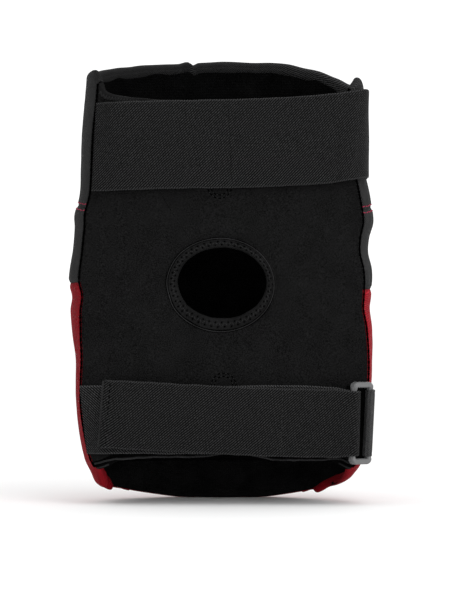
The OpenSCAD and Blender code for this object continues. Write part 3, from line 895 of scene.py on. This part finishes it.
def rear_panel():
    outline = rear_outline()
    (x0, z0), (half_w, half_h) = VENT_HOLE
    angle = np.arctan2((outline[:, 1] - z0) / half_h, (outline[:, 0] * 80 - x0) / half_w)
    hole = np.stack(vent_s(angle, 1.6), axis=-1)
    r = (1 - np.cos(np.linspace(0, math.pi, 64)))[:, None, None] / 2  # closest together at both edges
    sz = lerp(hole, outline, r)
    s, z = sz[..., 0], sz[..., 1]
    out = np.linalg.norm((sz - hole) * (80, 1), axis=-1) + 1.6  # distance from the vent's edge
    dip = rear_dip(s, z) + 0.45 * bump(r[..., 0], 0, 0.05) + 0.6 * bump(out, VENT_BINDING + 1.1, 0.5)
    front = rear(s, z, dip)
    back = rear(s, z, REAR_THICK - 0.5 * smooth((np.abs(s) - 0.97) / 0.03) - 0.3 * bump(r[..., 0], 0, 0.05))
    uv = stacked(s * 78, z) * MM
    piece = cloth("rear_panel_knit", front, back, STRETCH, closed=True, uv=uv, nodes=("rear_panel",), slot="rear_knit")


rear_panel()


VENT_STITCHES = 46
ROUND_TACKS = (-1.4, 180.4), (0.8, 67.8)  # x and z of the two small rounds of stitches
HOLE_ROWS = (1.75, 0.0), (3.55, 0.5)  # distance out from the edge, and the share of a stitch they are shifted by


def vent_binding():
    """A tape folded over the edge of the vent, pulled in at two rows of stitch holes."""
    fold = np.linspace(-math.pi / 2, math.pi / 2, 13)
    reach = VENT_BINDING
    half = REAR_THICK / 2 + 0.75
    face = np.linspace(reach - 0.5, 1.2, 21)
    rho = np.concatenate([[reach - 0.2], face, 1.2 - 1.2 * np.cos(fold[1:-1]), face[::-1], [reach - 0.2]])
    depth = np.concatenate([[0.5], -0.75 + 0 * face, REAR_THICK / 2 + half * np.sin(fold[1:-1]),
                            REAR_THICK + 0.75 + 0 * face, [REAR_THICK - 0.5]])
    angle = turns(20 * VENT_STITCHES)
    stitch = angle * VENT_STITCHES / math.tau
    crown = np.where(depth < 0, -1, np.where(depth > REAR_THICK, 1, 0))[:, None]
    lap = bump(np.mod(angle + math.pi, math.tau) - math.pi, 0.0, 0.05)
    rows = []
    for k in range(len(rho)):
        puff = 0.32 * (bump(rho[k], 2.65, 0.7) + bump(rho[k], 4.5, 0.5) + 0.5 * bump(rho[k], 0.9, 0.5))
        holes = sum(bump(rho[k], at, 0.42) * bump((np.mod(stitch + shift, 1) - 0.5) * 3.45, 0, 0.45)
                    for at, shift in HOLE_ROWS)
        wavy = 0.15 * ripple(angle * 24, rho[k], 9, 31)
        s, z = vent_s(angle, rho[k] + wavy + 0.7 * lap * (rho[k] > 3))
        rows.append(rear(s, z, depth[k] + crown[k] * (puff - 1.15 * holes + 0.35 * lap)))
    grid = np.array(rows)
    n, m = grid.shape[:2]
    across = np.concatenate([[0], np.cumsum(np.hypot(np.diff(rho), np.diff(depth)))])
    uv = stacked(angle * 25, across[:, None]) * MM
    make("vent_binding_tape", grid, hoop(n, m), BINDING, uv=uv, nodes=("vent_edging",), slot="binding")


def vent_thread():
    """Zigzag thread between the binding's two rows of holes, and the piping round the binding."""
    angle = np.arange(0, VENT_STITCHES + 1, 0.0625) / VENT_STITCHES * math.tau
    swing = np.abs(np.mod(angle * VENT_STITCHES / math.tau * 2 + 1, 2) - 1)
    s, z = vent_s(angle, lerp(HOLE_ROWS[0][0], HOLE_ROWS[1][0], swing))
    dive = 1.1 * (bump(swing, 0, 0.16) + bump(swing, 1, 0.16))
    make("vent_zigzag", *tube(rear(s, z, -1.05 + dive), 0.17, 6, up=(0, 1, 0)), BLACK_THREAD)
    angle = turns(400)
    s, z = vent_s(angle, VENT_BINDING + 0.25)
    make("vent_piping", *tube(rear(s, z, -0.35), 0.33, 8, up=(0, 1, 0), closed=True), PIPING_AND_EDGE_HIGHLIGHT)
    # A near-black tube under the piping: painted shade of the groove round it.
    make("vent_piping_groove_shade", *tube(rear(s, z, 0.45), 0.78, 8, up=(0, 1, 0), closed=True), THREAD_AND_GROOVE_SHADE)
    # Near-black plugs in the binding's stitch holes: painted shade inside the holes.
    hole_shades = []
    for out, shift in HOLE_ROWS:
        for at in (np.arange(VENT_STITCHES) + 0.5 - shift) / VENT_STITCHES * math.tau:
            s, z = vent_s(at, out)
            hole_shades.append(tube(np.array([rear(s, z, d) for d in (-0.15, 0.1, 0.6)]), 0.42, 8, up=(0, 0, 1)))
    make("vent_stitch_hole_shade", *joined(hole_shades), THREAD_AND_GROOVE_SHADE)


vent_binding()
vent_thread()


def edging(name, low, high, top, nodes, seed, material, zigzag):
    """A strip folded over the top or the bottom edge of the rear panel, and the zigzag thread along it."""
    s = np.linspace(-1, 1, 361)
    fold = np.linspace(-math.pi / 2, math.pi / 2, 13)
    half = REAR_THICK / 2 + 0.35
    height = high(s) - low(s)
    wave = 0.18 * ripple(s * 75, 0, 12, seed)
    rim, way = (high, -1) if top else (low, 1)
    edge = rim(s) + wave
    rows = []
    for k in np.linspace(1, 0.38, 8):
        rows.append((edge + way * height * k, -0.3 - 0.22 * np.sin(math.pi * (1 - k) / 0.62)))
    for f in fold[1:-1]:
        rows.append((edge + way * height * 0.38 * (1 - np.cos(f)), REAR_THICK / 2 + half * np.sin(f)))
    for k in np.linspace(0.38, 1, 8):
        rows.append((edge + way * height * k, REAR_THICK + 0.3 + 0.2 * np.sin(math.pi * (1 - k) / 0.62)))
    grid = np.array([rear(s, z, d + 1.0 * smooth((np.abs(s) - 0.97) / 0.03)) for z, d in rows])
    n, m = grid.shape[:2]
    faces = quads(n, m) + [(i, i + 1, (n - 1) * m + i + 1, (n - 1) * m + i) for i in range(m - 1)]
    faces += [tuple(j * m for j in range(n)), tuple(j * m + m - 1 for j in range(n))]
    make(name, grid, faces, material, uv=cloth_uv(grid), nodes=nodes, slot="binding")
    count = 82
    t = np.arange(0, count + 0.01, 0.125) / count
    swing = np.abs(np.mod(t * count * 2, 2) - 1)
    where = lerp(-0.975, 0.975, t)
    z = rim(where) + way * lerp(1.5, 3.7, smooth(swing))
    dive = 0.4 * (bump(swing, 0, 0.15) + bump(swing, 1, 0.15))
    make(name + "_zigzag", *tube(rear(where, z, -0.62 + dive), 0.2, 6, up=(0, 1, 0)), zigzag)


def bottom_cords():
    """The rolled cord along the bottom binding, and a second one under its ends."""
    parts = []
    s = np.linspace(-0.975, 0.975, 300)
    z = rear_bottom(s) + 0.1 + 2.6 * smooth((np.abs(s) - 0.7) / 0.22) + 0.15 * ripple(s * 75, 0, 9, 44)
    parts.append(tube(rear(s, z, -0.55), 0.62, 10, up=(0, 1, 0)))
    for side in (-1, 1):
        s = side * np.linspace(0.87, 0.98, 40)
        parts.append(tube(rear(s, rear_bottom(s) + 0.3, -0.35), 0.5, 10, up=(0, 1, 0)))
    # The cords are real rolls of the binding; their lighter knit is painted highlight on the roll.
    make("bottom_binding_cords", *joined(parts), PIPING_AND_EDGE_HIGHLIGHT, slot="binding")


edging("rear_top_binding", lambda s: rear_top(s) - HEM, rear_top, True, ("rear_top_edging",), 41,
       BINDING, BLACK_THREAD)
# The bottom strip is near-black tape and its zigzag near-black thread: painted shade below the lower strap. The strip
# and thread are real.
edging("rear_bottom_binding", rear_bottom, lambda s: rear_bottom(s) + HEM, False, ("rear_bottom_edging",), 42,
       TAPE_PAINTED_SHADE, THREAD_AND_GROOVE_SHADE)
bottom_cords()


def round_tacks():
    """Two small double rounds of stitches in the rear panel, each half under a strap."""
    angle = np.linspace(0, math.tau, 121)
    threads, groove_shades = [], []
    for x0, z0 in ROUND_TACKS:
        for radius in (7.0, 5.2):
            z = z0 + radius * np.sin(angle)
            s = across_rear(x0 + radius * np.cos(angle), z)
            path = rear(s, z, 0)
            threads.append(stitches(path, unit(path - rear(s, z, 1)), length=1.9, gap=0.7, radius=0.24, proud=0.05))
            # A near-black ring under each round of stitches: painted shade in its groove.
            groove_shades.append(tube(rear(s[:-1], z[:-1], 0.2), 0.38, 8, up=(0, 1, 0), closed=True))
    make("round_tack_stitches", *joined(threads), BLACK_THREAD)
    make("round_tack_groove_shade", *joined(groove_shades), THREAD_AND_GROOVE_SHADE)


round_tacks()


def seam_crease(side):
    """A near-black tube deep in the side seam, between the cover and the rear panel: painted shade of the seam's
    crease.
    """
    t = np.linspace(0.005, 0.995, 420)
    z = lerp(rear_bottom(side), rear_top(side), t)
    thread = tube(rear(side, z, 0.15), 0.5 + 0.1 * np.sin(z * math.tau / 3.2), 8, up=(1, 0, 0))
    make(("left" if side < 0 else "right") + "_seam_crease_shade", *thread, THREAD_AND_GROOVE_SHADE)


def seam_tape(side):
    """A tape over the seam allowance inside, with a row of stitches along each edge."""
    name = "left" if side < 0 else "right"
    s = side * np.linspace(0.92, 0.998, 9)[None, :]
    z = np.linspace(40, 215, 90)[:, None] + 0 * s
    crown = 0.3 * np.sin(np.linspace(0, math.pi, 9))[None, :] + 0.12 * ripple(s * 75, z, 14, 50)
    near, far = rear(s, z, REAR_THICK + 0.1), rear(s, z, REAR_THICK + 0.95 + crown)
    cloth(name + "_seam_tape_strip", far, near, BINDING, nodes=(name + "_seam_tape",), slot="binding")
    parts = []
    for at in (0.93, 0.985):
        z = np.linspace(42, 213, 160)
        path = rear(side * at, z, REAR_THICK + 1.15)
        parts.append(stitches(path, unit(path - rear(side * at, z, 0)), radius=0.25))
    make(name + "_tape_stitches", *joined(parts), BLACK_THREAD)


for sewn_part in (seam_crease, seam_tape):
    for end in (-1, 1):
        sewn_part(end)


# ------------------------------------------------------------------ straps
def tilted(points, height, tilt):
    """From a strap's own level frame to the pad's."""
    a = math.radians(tilt)
    x, y, h = np.moveaxis(np.asarray(points, float), -1, 0)
    return stacked(x * math.cos(a) + h * math.sin(a), y, height - x * math.sin(a) + h * math.cos(a))


def on_upper(points):
    return tilted(points, UPPER_Z, UPPER_TILT)


def on_lower(points):
    return tilted(points, LOWER_Z, LOWER_TILT)


def softened(path, passes, step=1.2):
    """A plan path with its corners eased."""
    path = resample(path, step)
    for _ in range(passes):
        path[1:-1] = (path[:-2] + 2 * path[1:-1] + path[2:]) / 4
    return path


def section(width, thick, across=30):
    """(height, offset) points round a strap's section, with rounded edges and a thin selvedge groove."""
    r = thick / 2
    flat = np.linspace(-1, 1, across) * (width / 2 - r)
    arc = np.linspace(math.pi / 2, -math.pi / 2, 7)[1:-1]
    groove = 0.16 * bump(np.abs(flat), width / 2 - 1.5, 0.35)
    front = stacked(flat, r - groove)
    right = stacked(width / 2 - r + r * np.cos(arc), r * np.sin(arc))
    back = stacked(flat[::-1], -r + groove)
    left = stacked(-width / 2 + r - r * np.cos(arc), -r * np.sin(arc))
    return np.concatenate([front, right, back, left])


def strap(name, path, width, level, material, thick=WEBBING, flow=1, seed=0, part=slice(None), rise=None, shear=None,
          squeeze=None, sway=0.22, lumps=None, **kw):
    """A strap standing on edge along a plan path, with its outside to the left of the path's way.

    By the distance along: rise lifts it and squeeze scales its width. By the distance along and the height on it:
    shear moves a point along x and lumps adds to its thickness. part is the range of the path that is made."""
    path = np.asarray(path, float)
    tangent = unit(np.gradient(path, axis=0))
    side = stacked(-tangent[:, 1], tangent[:, 0])
    s = lengths(path, 0)
    h, off = (np.tile(column, (len(path), 1)) for column in section(width, thick).T)
    along_it = s[:, None] + 0 * h
    uv = stacked(along_it * flow, h) * MM
    if squeeze is not None:
        h = h * squeeze(s)[:, None]
    if lumps is not None:
        off = off + np.sign(off) * lumps(along_it, h)
    ends = smooth(s / 12) * smooth((s[-1] - s) / 12)
    h = h + 0.16 * ripple(along_it, 0 * h, 21, seed + 1) * np.sign(h)
    off = off + sway * ripple(along_it, h, 42, seed) * ends[:, None]
    x, y = path[:, :1] + side[:, :1] * off, path[:, 1:] + side[:, 1:] * off
    if shear is not None:
        x = x + shear(along_it, h)
    if rise is not None:
        h = h + rise(s)[:, None]
    grid = level(stacked(x, y, h))[part]
    n, m = grid.shape[:2]
    faces = quads(n, m, 0, True)
    faces += [tuple(range(m)), tuple((n - 1) * m + i for i in range(m))]
    return make(name, grid, faces, material, uv=uv[part], **kw)


def patch(name, path, width, level, material, thick, seed, node, body="pad"):
    """A patch of hooks or loops, sewn to a strap or to the pad."""
    strap(name, path, width, level, material, thick=thick, seed=seed, sway=0.0, body=body, nodes=(node,),
          slot="hook_loop")


def metres(point):
    return tuple(float(v) * MM for v in point)


GAP, TOUCH = 0.35, 0.05  # between a strap and what it crosses, and between a patch and what it is sewn to
EDGING = 0.3  # how far the strips on the rear panel's edges stand out
LOOP_THICK, HOOK_THICK = 0.9, 0.8
PATCHES = LOOP_THICK + HOOK_THICK


def span_y(z):
    """Where a strap's middle crosses the rear, just clear of the panel."""
    return seam_y(z) - REAR_BOW - EDGING - GAP - WEBBING / 2


# Upper strap: sewn at the left seam, across the rear, round the right side and closed at the front
UPPER_ROOT, UPPER_CORNER = (-70.5, -41.8), (80.6, -38.6)
SPAN_Y = span_y(UPPER_Z + UPPER_W / 2)
WRAP_Z, WRAP_WIDTH = 186, 82.0447  # the height whose plan the strap follows round the side, and the half width there
WRAP_START, PATCH_START, STRAP_TIP, LOOP_TIP = 86, 62, 34, 26  # angles from the front, in degrees
UPPER_RISE = [(0, 0.2), (45, -0.4), (85, -1.5), (113, -1.6), (133, -1.1), (148, 0.3), (158, 1.5), (175, 1.5), (215, 0)]


def wrap(angle, offset):
    """A plan point round the right side of the pad, at an angle from the front in degrees."""
    a = np.radians(angle)
    reach = FRONT_DEPTH - (TOP_LEAN - 3) * lean(WRAP_Z)
    return stacked((WRAP_WIDTH + offset) * power(np.sin(a), POWER),
                   mid_y(WRAP_Z) + (reach + offset) * power(np.cos(a), POWER))


def wrap_offset(angle):
    near = smooth((WRAP_START - angle) / (WRAP_START - PATCH_START))
    return WEBBING / 2 + lerp(GAP, 2 * GAP + PATCHES + TOUCH, near)


def upper_strap():
    bend = np.arange(WRAP_START, STRAP_TIP - 1, -4)
    corners = np.concatenate([[(-74.6, -41.0), UPPER_ROOT, (-58, SPAN_Y)], [(x, SPAN_Y) for x in range(-40, 61, 20)],
                              [(74, SPAN_Y + 1.2), UPPER_CORNER, (83, -31)], wrap(bend, wrap_offset(bend))])
    path = softened(corners, 10)
    split = int(np.argmin(np.abs(path[:, 0] - 4) + 1000 * (path[:, 1] > -30)))

    def slant(s, h):
        return (2.35 + 0.096 * h) * smooth(1 - s / 16) + 0.05 * h * smooth((s - 130) / 25) * smooth((200 - s) / 40)

    def tuck(s, h):
        return -0.35 * bump(s, 0, 2.2)

    root, corner = on_upper([*UPPER_ROOT, 0]), on_upper([*UPPER_CORNER, 0])
    common = dict(path=path, width=UPPER_W, level=on_upper, material=ELASTIC_UPPER, slot="elastic", seed=61,
                  shear=slant, lumps=tuck, rise=lambda s: along(UPPER_RISE, s),
                  squeeze=lambda s: 1 - 0.04 * smooth((s - 160) / 30))
    strap("upper_strap_left", part=slice(0, split + 1), nodes=("upper_strap_anchor",),
          blend=("pad", "strap_span", metres(root + (-1.5, 0, 0)), metres(root + (7, 0, 0))), **common)
    strap("upper_strap_right", part=slice(split, None), nodes=("upper_strap_span", "upper_strap_end"),
          blend=("strap_span", "strap_end", metres(corner + (-5, -1, 0)), metres(corner + (1.5, 4, 0))), **common)
    hook = wrap(np.arange(PATCH_START, STRAP_TIP, -1.0), 2 * GAP + LOOP_THICK + HOOK_THICK / 2)
    patch("upper_hooks", hook, UPPER_W - 6, on_upper, HOOKS, HOOK_THICK, 63, "upper_hook_patch", "strap_end")
    loop = wrap(np.arange(PATCH_START, LOOP_TIP, -1.0), GAP + LOOP_THICK / 2)
    patch("upper_loops", loop, UPPER_W - 4, on_upper, LOOPS, LOOP_THICK, 64, "upper_loop_patch")
    parts = []
    h = np.linspace(-UPPER_W / 2 + 3, UPPER_W / 2 - 3, 40)
    for angle in (STRAP_TIP + 2.2, PATCH_START - 1):
        x, y = wrap(np.array(angle), wrap_offset(angle) + WEBBING / 2)
        out_x, out_y = wrap(np.array(angle), 5) - wrap(np.array(angle), 0)
        parts.append(stitches(on_upper(stacked(x, y, h)), unit(stacked(out_x, out_y, 0 * h)), length=2.2, gap=0.8))
    make("upper_strap_stitches", *joined(parts), BLACK_THREAD, body="strap_end")


upper_strap()

# Lower strap: sewn at the left seam, across the rear, round the ring's inner bar and back over itself
BASE_Y = span_y(LOWER_Z - LOWER_W / 2)
LOOP_Y = BASE_Y - (WEBBING + LOOP_THICK) / 2 - TOUCH
HOOK_Y = LOOP_Y - PATCHES / 2 - GAP
TAIL_Y = HOOK_Y - (HOOK_THICK + WEBBING) / 2 - TOUCH
TURN_R = BAR_R + GAP + WEBBING / 2
TAIL_ROOT = INNER_BAR - (0, TURN_R)
TAIL_TIP = -67
ROW_LEFT, ROW_RIGHT = -64.2, 33.6  # the tail's two lines of stitches across it
BASE_RISE = [(0, -2.5), (15, -2), (80, -0.3), (123, 1.1), (140, 0.6), (150, 0)]
TAIL_RISE = [(0, 0), (5, -0.2), (34, -0.7), (68, -0.5), (147, 1.6)]


def lower_strap():
    a = np.linspace(math.pi / 2, -math.pi / 2, 17)
    turn = INNER_BAR + TURN_R * stacked(np.cos(a), np.sin(a))
    base = softened([(-79.5, -39.6), (-66, BASE_Y + 1.2), (-54, BASE_Y + 0.2),
                     *((x, BASE_Y) for x in range(-40, 41, 20)), (58, BASE_Y - 0.4), (69.6, -45.3)], 4)
    tail = softened([TAIL_ROOT, (62, TAIL_Y - 1.6), (50, TAIL_Y - 0.4), (40, TAIL_Y), (0, TAIL_Y),
                     (TAIL_TIP, TAIL_Y)], 5)
    inward, outward = np.concatenate([base, turn[1:9]]), np.concatenate([turn[8:-1], tail])

    def squeeze_in(s):
        return 1 - 0.05 * smooth((s - s[-1] + 16) / 12)

    def squeeze_out(s):
        return 1 - 0.05 * smooth((s[0] + 16 - s) / 12)

    def seam_slant(s, h):
        return (1.3 - 0.134 * h) * smooth(1 - s / 14)

    def rise_out(s):
        return along(TAIL_RISE, s)

    def hem(s, h):
        end = s.max()
        fold = smooth((s - end + 5.6) / 1.0)
        return 0.6 * fold - 0.9 * bump(s, end - 5.2, 0.7) - 0.5 * smooth((s - end + 0.7) / 0.7)

    def tip_slant(s, h):
        end = s.max()
        corner = 1.6 * smooth((np.abs(h) - LOWER_W / 2 + 1.8) / 1.8) ** 2
        return (0.05 * h - 1.25 + corner) * smooth((s - end + 8) / 8)

    bar, root = on_lower([*INNER_BAR, 0]), on_lower([*TAIL_ROOT, 0])
    common = dict(width=LOWER_W, level=on_lower, slot="elastic")
    strap("lower_strap_under", inward, material=ELASTIC_UNDER, seed=71, squeeze=squeeze_in, shear=seam_slant,
          rise=lambda s: along(BASE_RISE, s), nodes=("lower_strap_base",),
          blend=("pad", "ring", metres(bar + (-24, 0, 0)), metres(bar + (-5, 0, 0))), **common)
    strap("lower_strap_over", outward, material=ELASTIC_LOWER, flow=-1, seed=73, squeeze=squeeze_out, shear=tip_slant,
          rise=rise_out, lumps=hem, nodes=("lower_strap_turn", "lower_strap_tail", "tail_end_tab"),
          blend=("ring", "strap_tail", metres(root + (0.8, 0, 0)), metres(root + (-7, 0, 0))), **common)
    hook = [(x, HOOK_Y) for x in np.arange(34, -38.1, -1.0)]
    patch("lower_hooks", hook, LOWER_W - 4, on_lower, HOOKS, HOOK_THICK, 75, "lower_hook_patch", "strap_tail")
    loop = [(x, LOOP_Y) for x in np.arange(40, -40.1, -1.0)]
    patch("lower_loops", loop, LOWER_W - 4, on_lower, LOOPS, LOOP_THICK, 76, "lower_loop_patch")
    h = np.linspace(-LOWER_W / 2 + 0.9, LOWER_W / 2 - 0.9, 60)
    # A roll along the tail's folded hem, in the lighter piping knit: painted highlight on the fold's edge.
    fold = on_lower(stacked(TAIL_TIP - 0.9 + 0.05 * h, TAIL_Y - 0.55, h + rise_out(147)))
    make("tail_fold_highlight", *tube(fold, 0.75 + 0.05 * np.sin(h * 5), 10, up=(0, 1, 0)), PIPING_AND_EDGE_HIGHLIGHT, body="strap_tail")
    h = np.linspace(-LOWER_W / 2 + 1.5, LOWER_W / 2 - 1.5, 40)
    # The hem's row is near-black: real stitches, darkened with the painted shade of the hem's groove.
    for name, x, slant, out, thread_material in (("tail_hem_stitches", ROW_LEFT, 0.05, 0.35, THREAD_AND_GROOVE_SHADE),
                                                 ("tail_stitches", ROW_RIGHT, 0.0, 0.0, BLACK_THREAD)):
        line = on_lower(stacked(x + slant * h, TAIL_Y - WEBBING / 2 - out, h + rise_out(78.3 - x)))
        row = stitches(line, stacked(0 * h, -1.0, 0.0), length=2.1, radius=0.33)
        make(name, *row, thread_material, body="strap_tail")


lower_strap()


# ------------------------------------------------------------------ ring and its keeper
RING_HEIGHT, RING_END = 46.4, 3.3


def ring():
    """One closed bar swept round a slim rectangle: round where it holds the straps, squarer at its ends."""
    half = (RING_HEIGHT - RING_END) / 2
    pitch = np.linalg.norm(OUTER_BAR - INNER_BAR)
    r = 1.6
    turn = np.linspace(0, math.pi / 2, 9)
    plan_x, up = [], []
    for cx, cz, a0 in ((pitch - r, half - r, 0), (r, half - r, 1), (r, -half + r, 2), (pitch - r, -half + r, 3)):
        plan_x += list(cx + r * np.cos(turn + a0 * math.pi / 2))
        up += list(cz + r * np.sin(turn + a0 * math.pi / 2))
    path = resample(stacked(plan_x + plan_x[:1], up + up[:1]), 0.7)[:-1]
    tangent = unit(np.roll(path, -1, 0) - np.roll(path, 1, 0))
    out = stacked(tangent[:, 1], -tangent[:, 0])
    end = smooth((np.abs(path[:, 1]) - half + 3.2) / 2.4)
    sides = 24
    a = turns(sides)
    square = lerp(1.0, 1.2, end)[:, None]  # the ends are flat faced, with bevelled corners
    ca, sa = np.clip(np.cos(a) * square, -1, 1), np.clip(np.sin(a) * square, -1, 1)
    wide = lerp(BAR_R, RING_END / 2, end)[:, None] * ca
    deep = lerp(BAR_R, BAR_R + 0.35, end)[:, None] * sa
    e1 = (OUTER_BAR - INNER_BAR) / pitch
    e2 = np.array([-e1[1], e1[0]])
    in_plane, height = path[:, :1] + out[:, :1] * wide, path[:, 1:] + out[:, 1:] * wide
    x = INNER_BAR[0] + e1[0] * in_plane + e2[0] * deep
    y = INNER_BAR[1] + e1[1] * in_plane + e2[1] * deep
    grid = on_lower(stacked(x, y, height))
    moulding = make("strap_ring_moulding", grid, hoop(len(path), sides), RING_PLASTIC, body="ring",
                    nodes=("strap_ring",), slot="ring_plastic")
    moulding.data.set_sharp_from_angle(angle=math.radians(24))


def keeper():
    """A loop of herringbone webbing round the ring's outer bar, sewn along the side of the pad."""
    reach, thick = 28, 1.0
    r = BAR_R + 0.06 + thick / 2
    ahead = np.linspace(reach, 1, 12)
    x0, y0 = OUTER_BAR
    outer_leg = [(x0 + r - 0.5 * smooth(a / reach), y0 + a) for a in ahead]
    loop = [(x0 + r * math.cos(a), y0 + r * math.sin(a)) for a in np.linspace(0, -math.pi, 15)]
    inner_leg = [(x0 - r + 0.1, y0 + a) for a in (0.8, 1.4)]
    path = softened(outer_leg + loop + inner_leg, 2, step=0.5)
    strap("keeper_loop", path[::-1], LOWER_W - 1, on_lower, KEEPER_WEB, thick=thick, seed=81, sway=0.08,
          shear=lambda s, h: 0.026 * h, nodes=("ring_keeper",), slot="keeper_webbing")
    # A near-black strip under the ring: painted shade in the gap inside the keeper's loop.
    base = [(x, y0 + 1.0) for x in np.arange(81, 69, -1.0)]
    strap("keeper_gap_shade", base, LOWER_W + 3, on_lower, TAPE_PAINTED_SHADE, thick=0.7, seed=82, sway=0.05, slot="binding")
    parts = []
    h = np.linspace(-LOWER_W / 2 + 2, LOWER_W / 2 - 2, 30)
    for ahead_at in (reach - 2, reach - 8):
        line = on_lower(stacked(x0 + r + 0.35, y0 + ahead_at, h))
        parts.append(stitches(line, stacked(1.0, 0.0, 0 * h), length=2.1, gap=0.8))
    make("keeper_stitches", *joined(parts), BLACK_THREAD)


ring()
keeper()


# ------------------------------------------------------------------ cap and rivets
CAP_CELLS = 96
SHANK_R, HEAD_R, WASHER_R = 2, 4.5, 7
RIVETS = [(x * 0.82, y * 0.84) for x in (-1, 1) for y in (-1, 1)]


def cap_base(a, b, depth):
    p, q = a * np.sqrt(1 - b * b / 2.6), b * np.sqrt(1 - a * a / 2.6)
    z = CAP_Z + CAP_HALF_H * q
    return wall(p * cap_half_angle(q) / seam_angle(0, z), z, depth)


def cap_rise(a, b):
    return 0.4 + CAP_DOME * smooth(((1 - a ** 4) * (1 - b ** 4) - 0.48) / 0.42)


def cap_relief(a, b):
    """Shallow generic moulding: a step round the dome and three cross ribs in a recess."""
    dome = (1 - a ** 4) * (1 - b ** 4)
    step = -0.7 * bump(dome, 0.9, 0.035)
    ribs = sum(bump(b, at, 0.035) for at in (-0.22, 0.0, 0.22)) * smooth((0.5 - np.abs(a)) / 0.06)
    return step + 0.8 * ribs - 0.35 * smooth((0.6 - np.abs(a)) / 0.05) * smooth((0.38 - np.abs(b)) / 0.05)


def cap():
    a, b = np.meshgrid(crowded(CAP_CELLS), crowded(CAP_CELLS))
    edge = np.maximum(np.abs(a), np.abs(b))
    rounding = 1.1 * (1 - np.sqrt(np.clip(1 - np.clip((edge - 0.975) / 0.025, 0, 1) ** 2, 0, 1)))
    outer = cap_base(a, b, -cap_rise(a, b) - CAP_WALL - cap_relief(a, b) + rounding)
    inner = cap_base(a * 0.999, b * 0.999, -cap_rise(a, b) - 0.02 + 0 * a)
    make("cap_moulding", *shell(outer, inner), CAP_PLASTIC, nodes=("hard_cap",), slot="cap_plastic")


def lathe(profile, origin, axis, sides=40):
    """Points and faces of a turned piece. profile is (radius, height) pairs, starting and ending on the axis."""
    axis = unit(np.asarray(axis, float))
    a = unit(np.cross(axis, (0.0, 0.0, 1.0)))
    b = np.cross(axis, a)
    turn = turns(sides)[:, None]
    grid = np.array([origin + axis * h + r * (np.cos(turn) * a + np.sin(turn) * b) for r, h in profile[1:-1]])
    ends = [[origin + axis * h] for r, h in (profile[0], profile[-1])]
    return np.concatenate([grid.reshape(-1, 3), *ends]), capped(len(grid), sides)


def rivets():
    """Domed heads on plain shanks, one at each corner of the cap."""
    heads, discs = [], []
    near = 0.02  # from a rivet to the points that give the cap's slope there
    for a, b in np.array(RIVETS):
        across = cap_base(a + near, b, 0) - cap_base(a - near, b, 0)
        up = cap_base(a, b + near, 0) - cap_base(a, b - near, 0)
        out, origin = unit(np.cross(up, across)), cap_base(a, b, 0)
        top = float(cap_rise(a, b)) + CAP_WALL + 0.3
        dome = [(HEAD_R * math.cos(t), top + 0.25 + 1.15 * math.sin(t)) for t in np.linspace(0, math.pi / 2, 9)[:-1]]
        foot = COVER + 2.4
        shank = [(0, -foot), (SHANK_R - 0.4, -foot), (SHANK_R, -foot + 0.4), (SHANK_R, top - 0.02),
                 (HEAD_R - 0.2, top), (HEAD_R, top + 0.1)]
        heads.append(lathe([*shank, *dome[1:], (0, top + 1.4)], origin, out))
        low = -COVER - 2.5
        disc = [(0, low), (WASHER_R - 0.3, low), (WASHER_R, low + 0.3), (WASHER_R, low + 0.8),
                (WASHER_R - 0.2, low + 1), (SHANK_R + 0.1, low + 1), (0, low + 1)]
        discs.append(lathe(disc, origin, out))
    make("rivet_set", *joined(heads), STEEL, nodes=("cap_rivets",), slot="rivet_steel")
    make("washer_set", *joined(discs), WASHER_STEEL, nodes=("rivet_washers",), slot="washer_steel")


cap()
rivets()


# ------------------------------------------------------------------ floor, light and camera
FLOOR_HALF = 6  # metres, like the rest of the studio
FLOOR_SHADES = (0.885,) * 3, (0.9,) * 3
WORLD_STRENGTH = 1.15
AIM = (0, -0.04, 0.14)
LAMPS = {"key": ((0.5, -0.9, 1.35), 0.7, 5), "side": ((1.3, -0.55, 0.3), 0.6, 5)}  # place, size and watts
LENS, SENSOR, CAMERA_PLACE = 156.4, 36, (0.0017, -1.511, 0.116)


def floor():
    material = Material("floor", rough=0.9, specular=0.0)
    material.colour(material.noise(400, 2), *FLOOR_SHADES)
    mesh = bpy.data.meshes.new("floor")
    corners = [(x * FLOOR_HALF, y * FLOOR_HALF, 0) for x, y in ((-1, -1), (1, -1), (1, 1), (-1, 1))]
    mesh.from_pydata(corners, [], [(0, 1, 2, 3)])
    link(mesh, "floor", material.material, smooth_shaded=False)


def softbox(name, place, size, watts):
    light = bpy.data.lights.new(name, "AREA")
    light.size, light.energy = size, watts
    lamp = bpy.data.objects.new(name, light)
    bpy.context.scene.collection.objects.link(lamp)
    lamp.location = place
    lamp.rotation_mode = "QUATERNION"
    lamp.rotation_quaternion = (Vector(AIM) - Vector(place)).to_track_quat("-Z", "Y")


def studio():
    world = bpy.data.worlds.new("studio")
    world.use_nodes = True
    background = world.node_tree.nodes["Background"]
    background.inputs["Color"].default_value = (1, 1, 1, 1)
    background.inputs["Strength"].default_value = WORLD_STRENGTH
    bpy.context.scene.world = world
    for name, lamp in LAMPS.items():
        softbox(name, *lamp)
    bpy.context.scene.view_settings.view_transform = "Standard"


def camera():
    data = bpy.data.cameras.new("camera")
    data.lens, data.sensor_width = LENS, SENSOR
    data.clip_start, data.clip_end = 0.05, 20
    view = bpy.data.objects.new("camera", data)
    bpy.context.scene.collection.objects.link(view)
    view.location = CAMERA_PLACE
    view.rotation_euler = (math.pi / 2, 0, 0)
    bpy.context.scene.camera = view


floor()
studio()
camera()
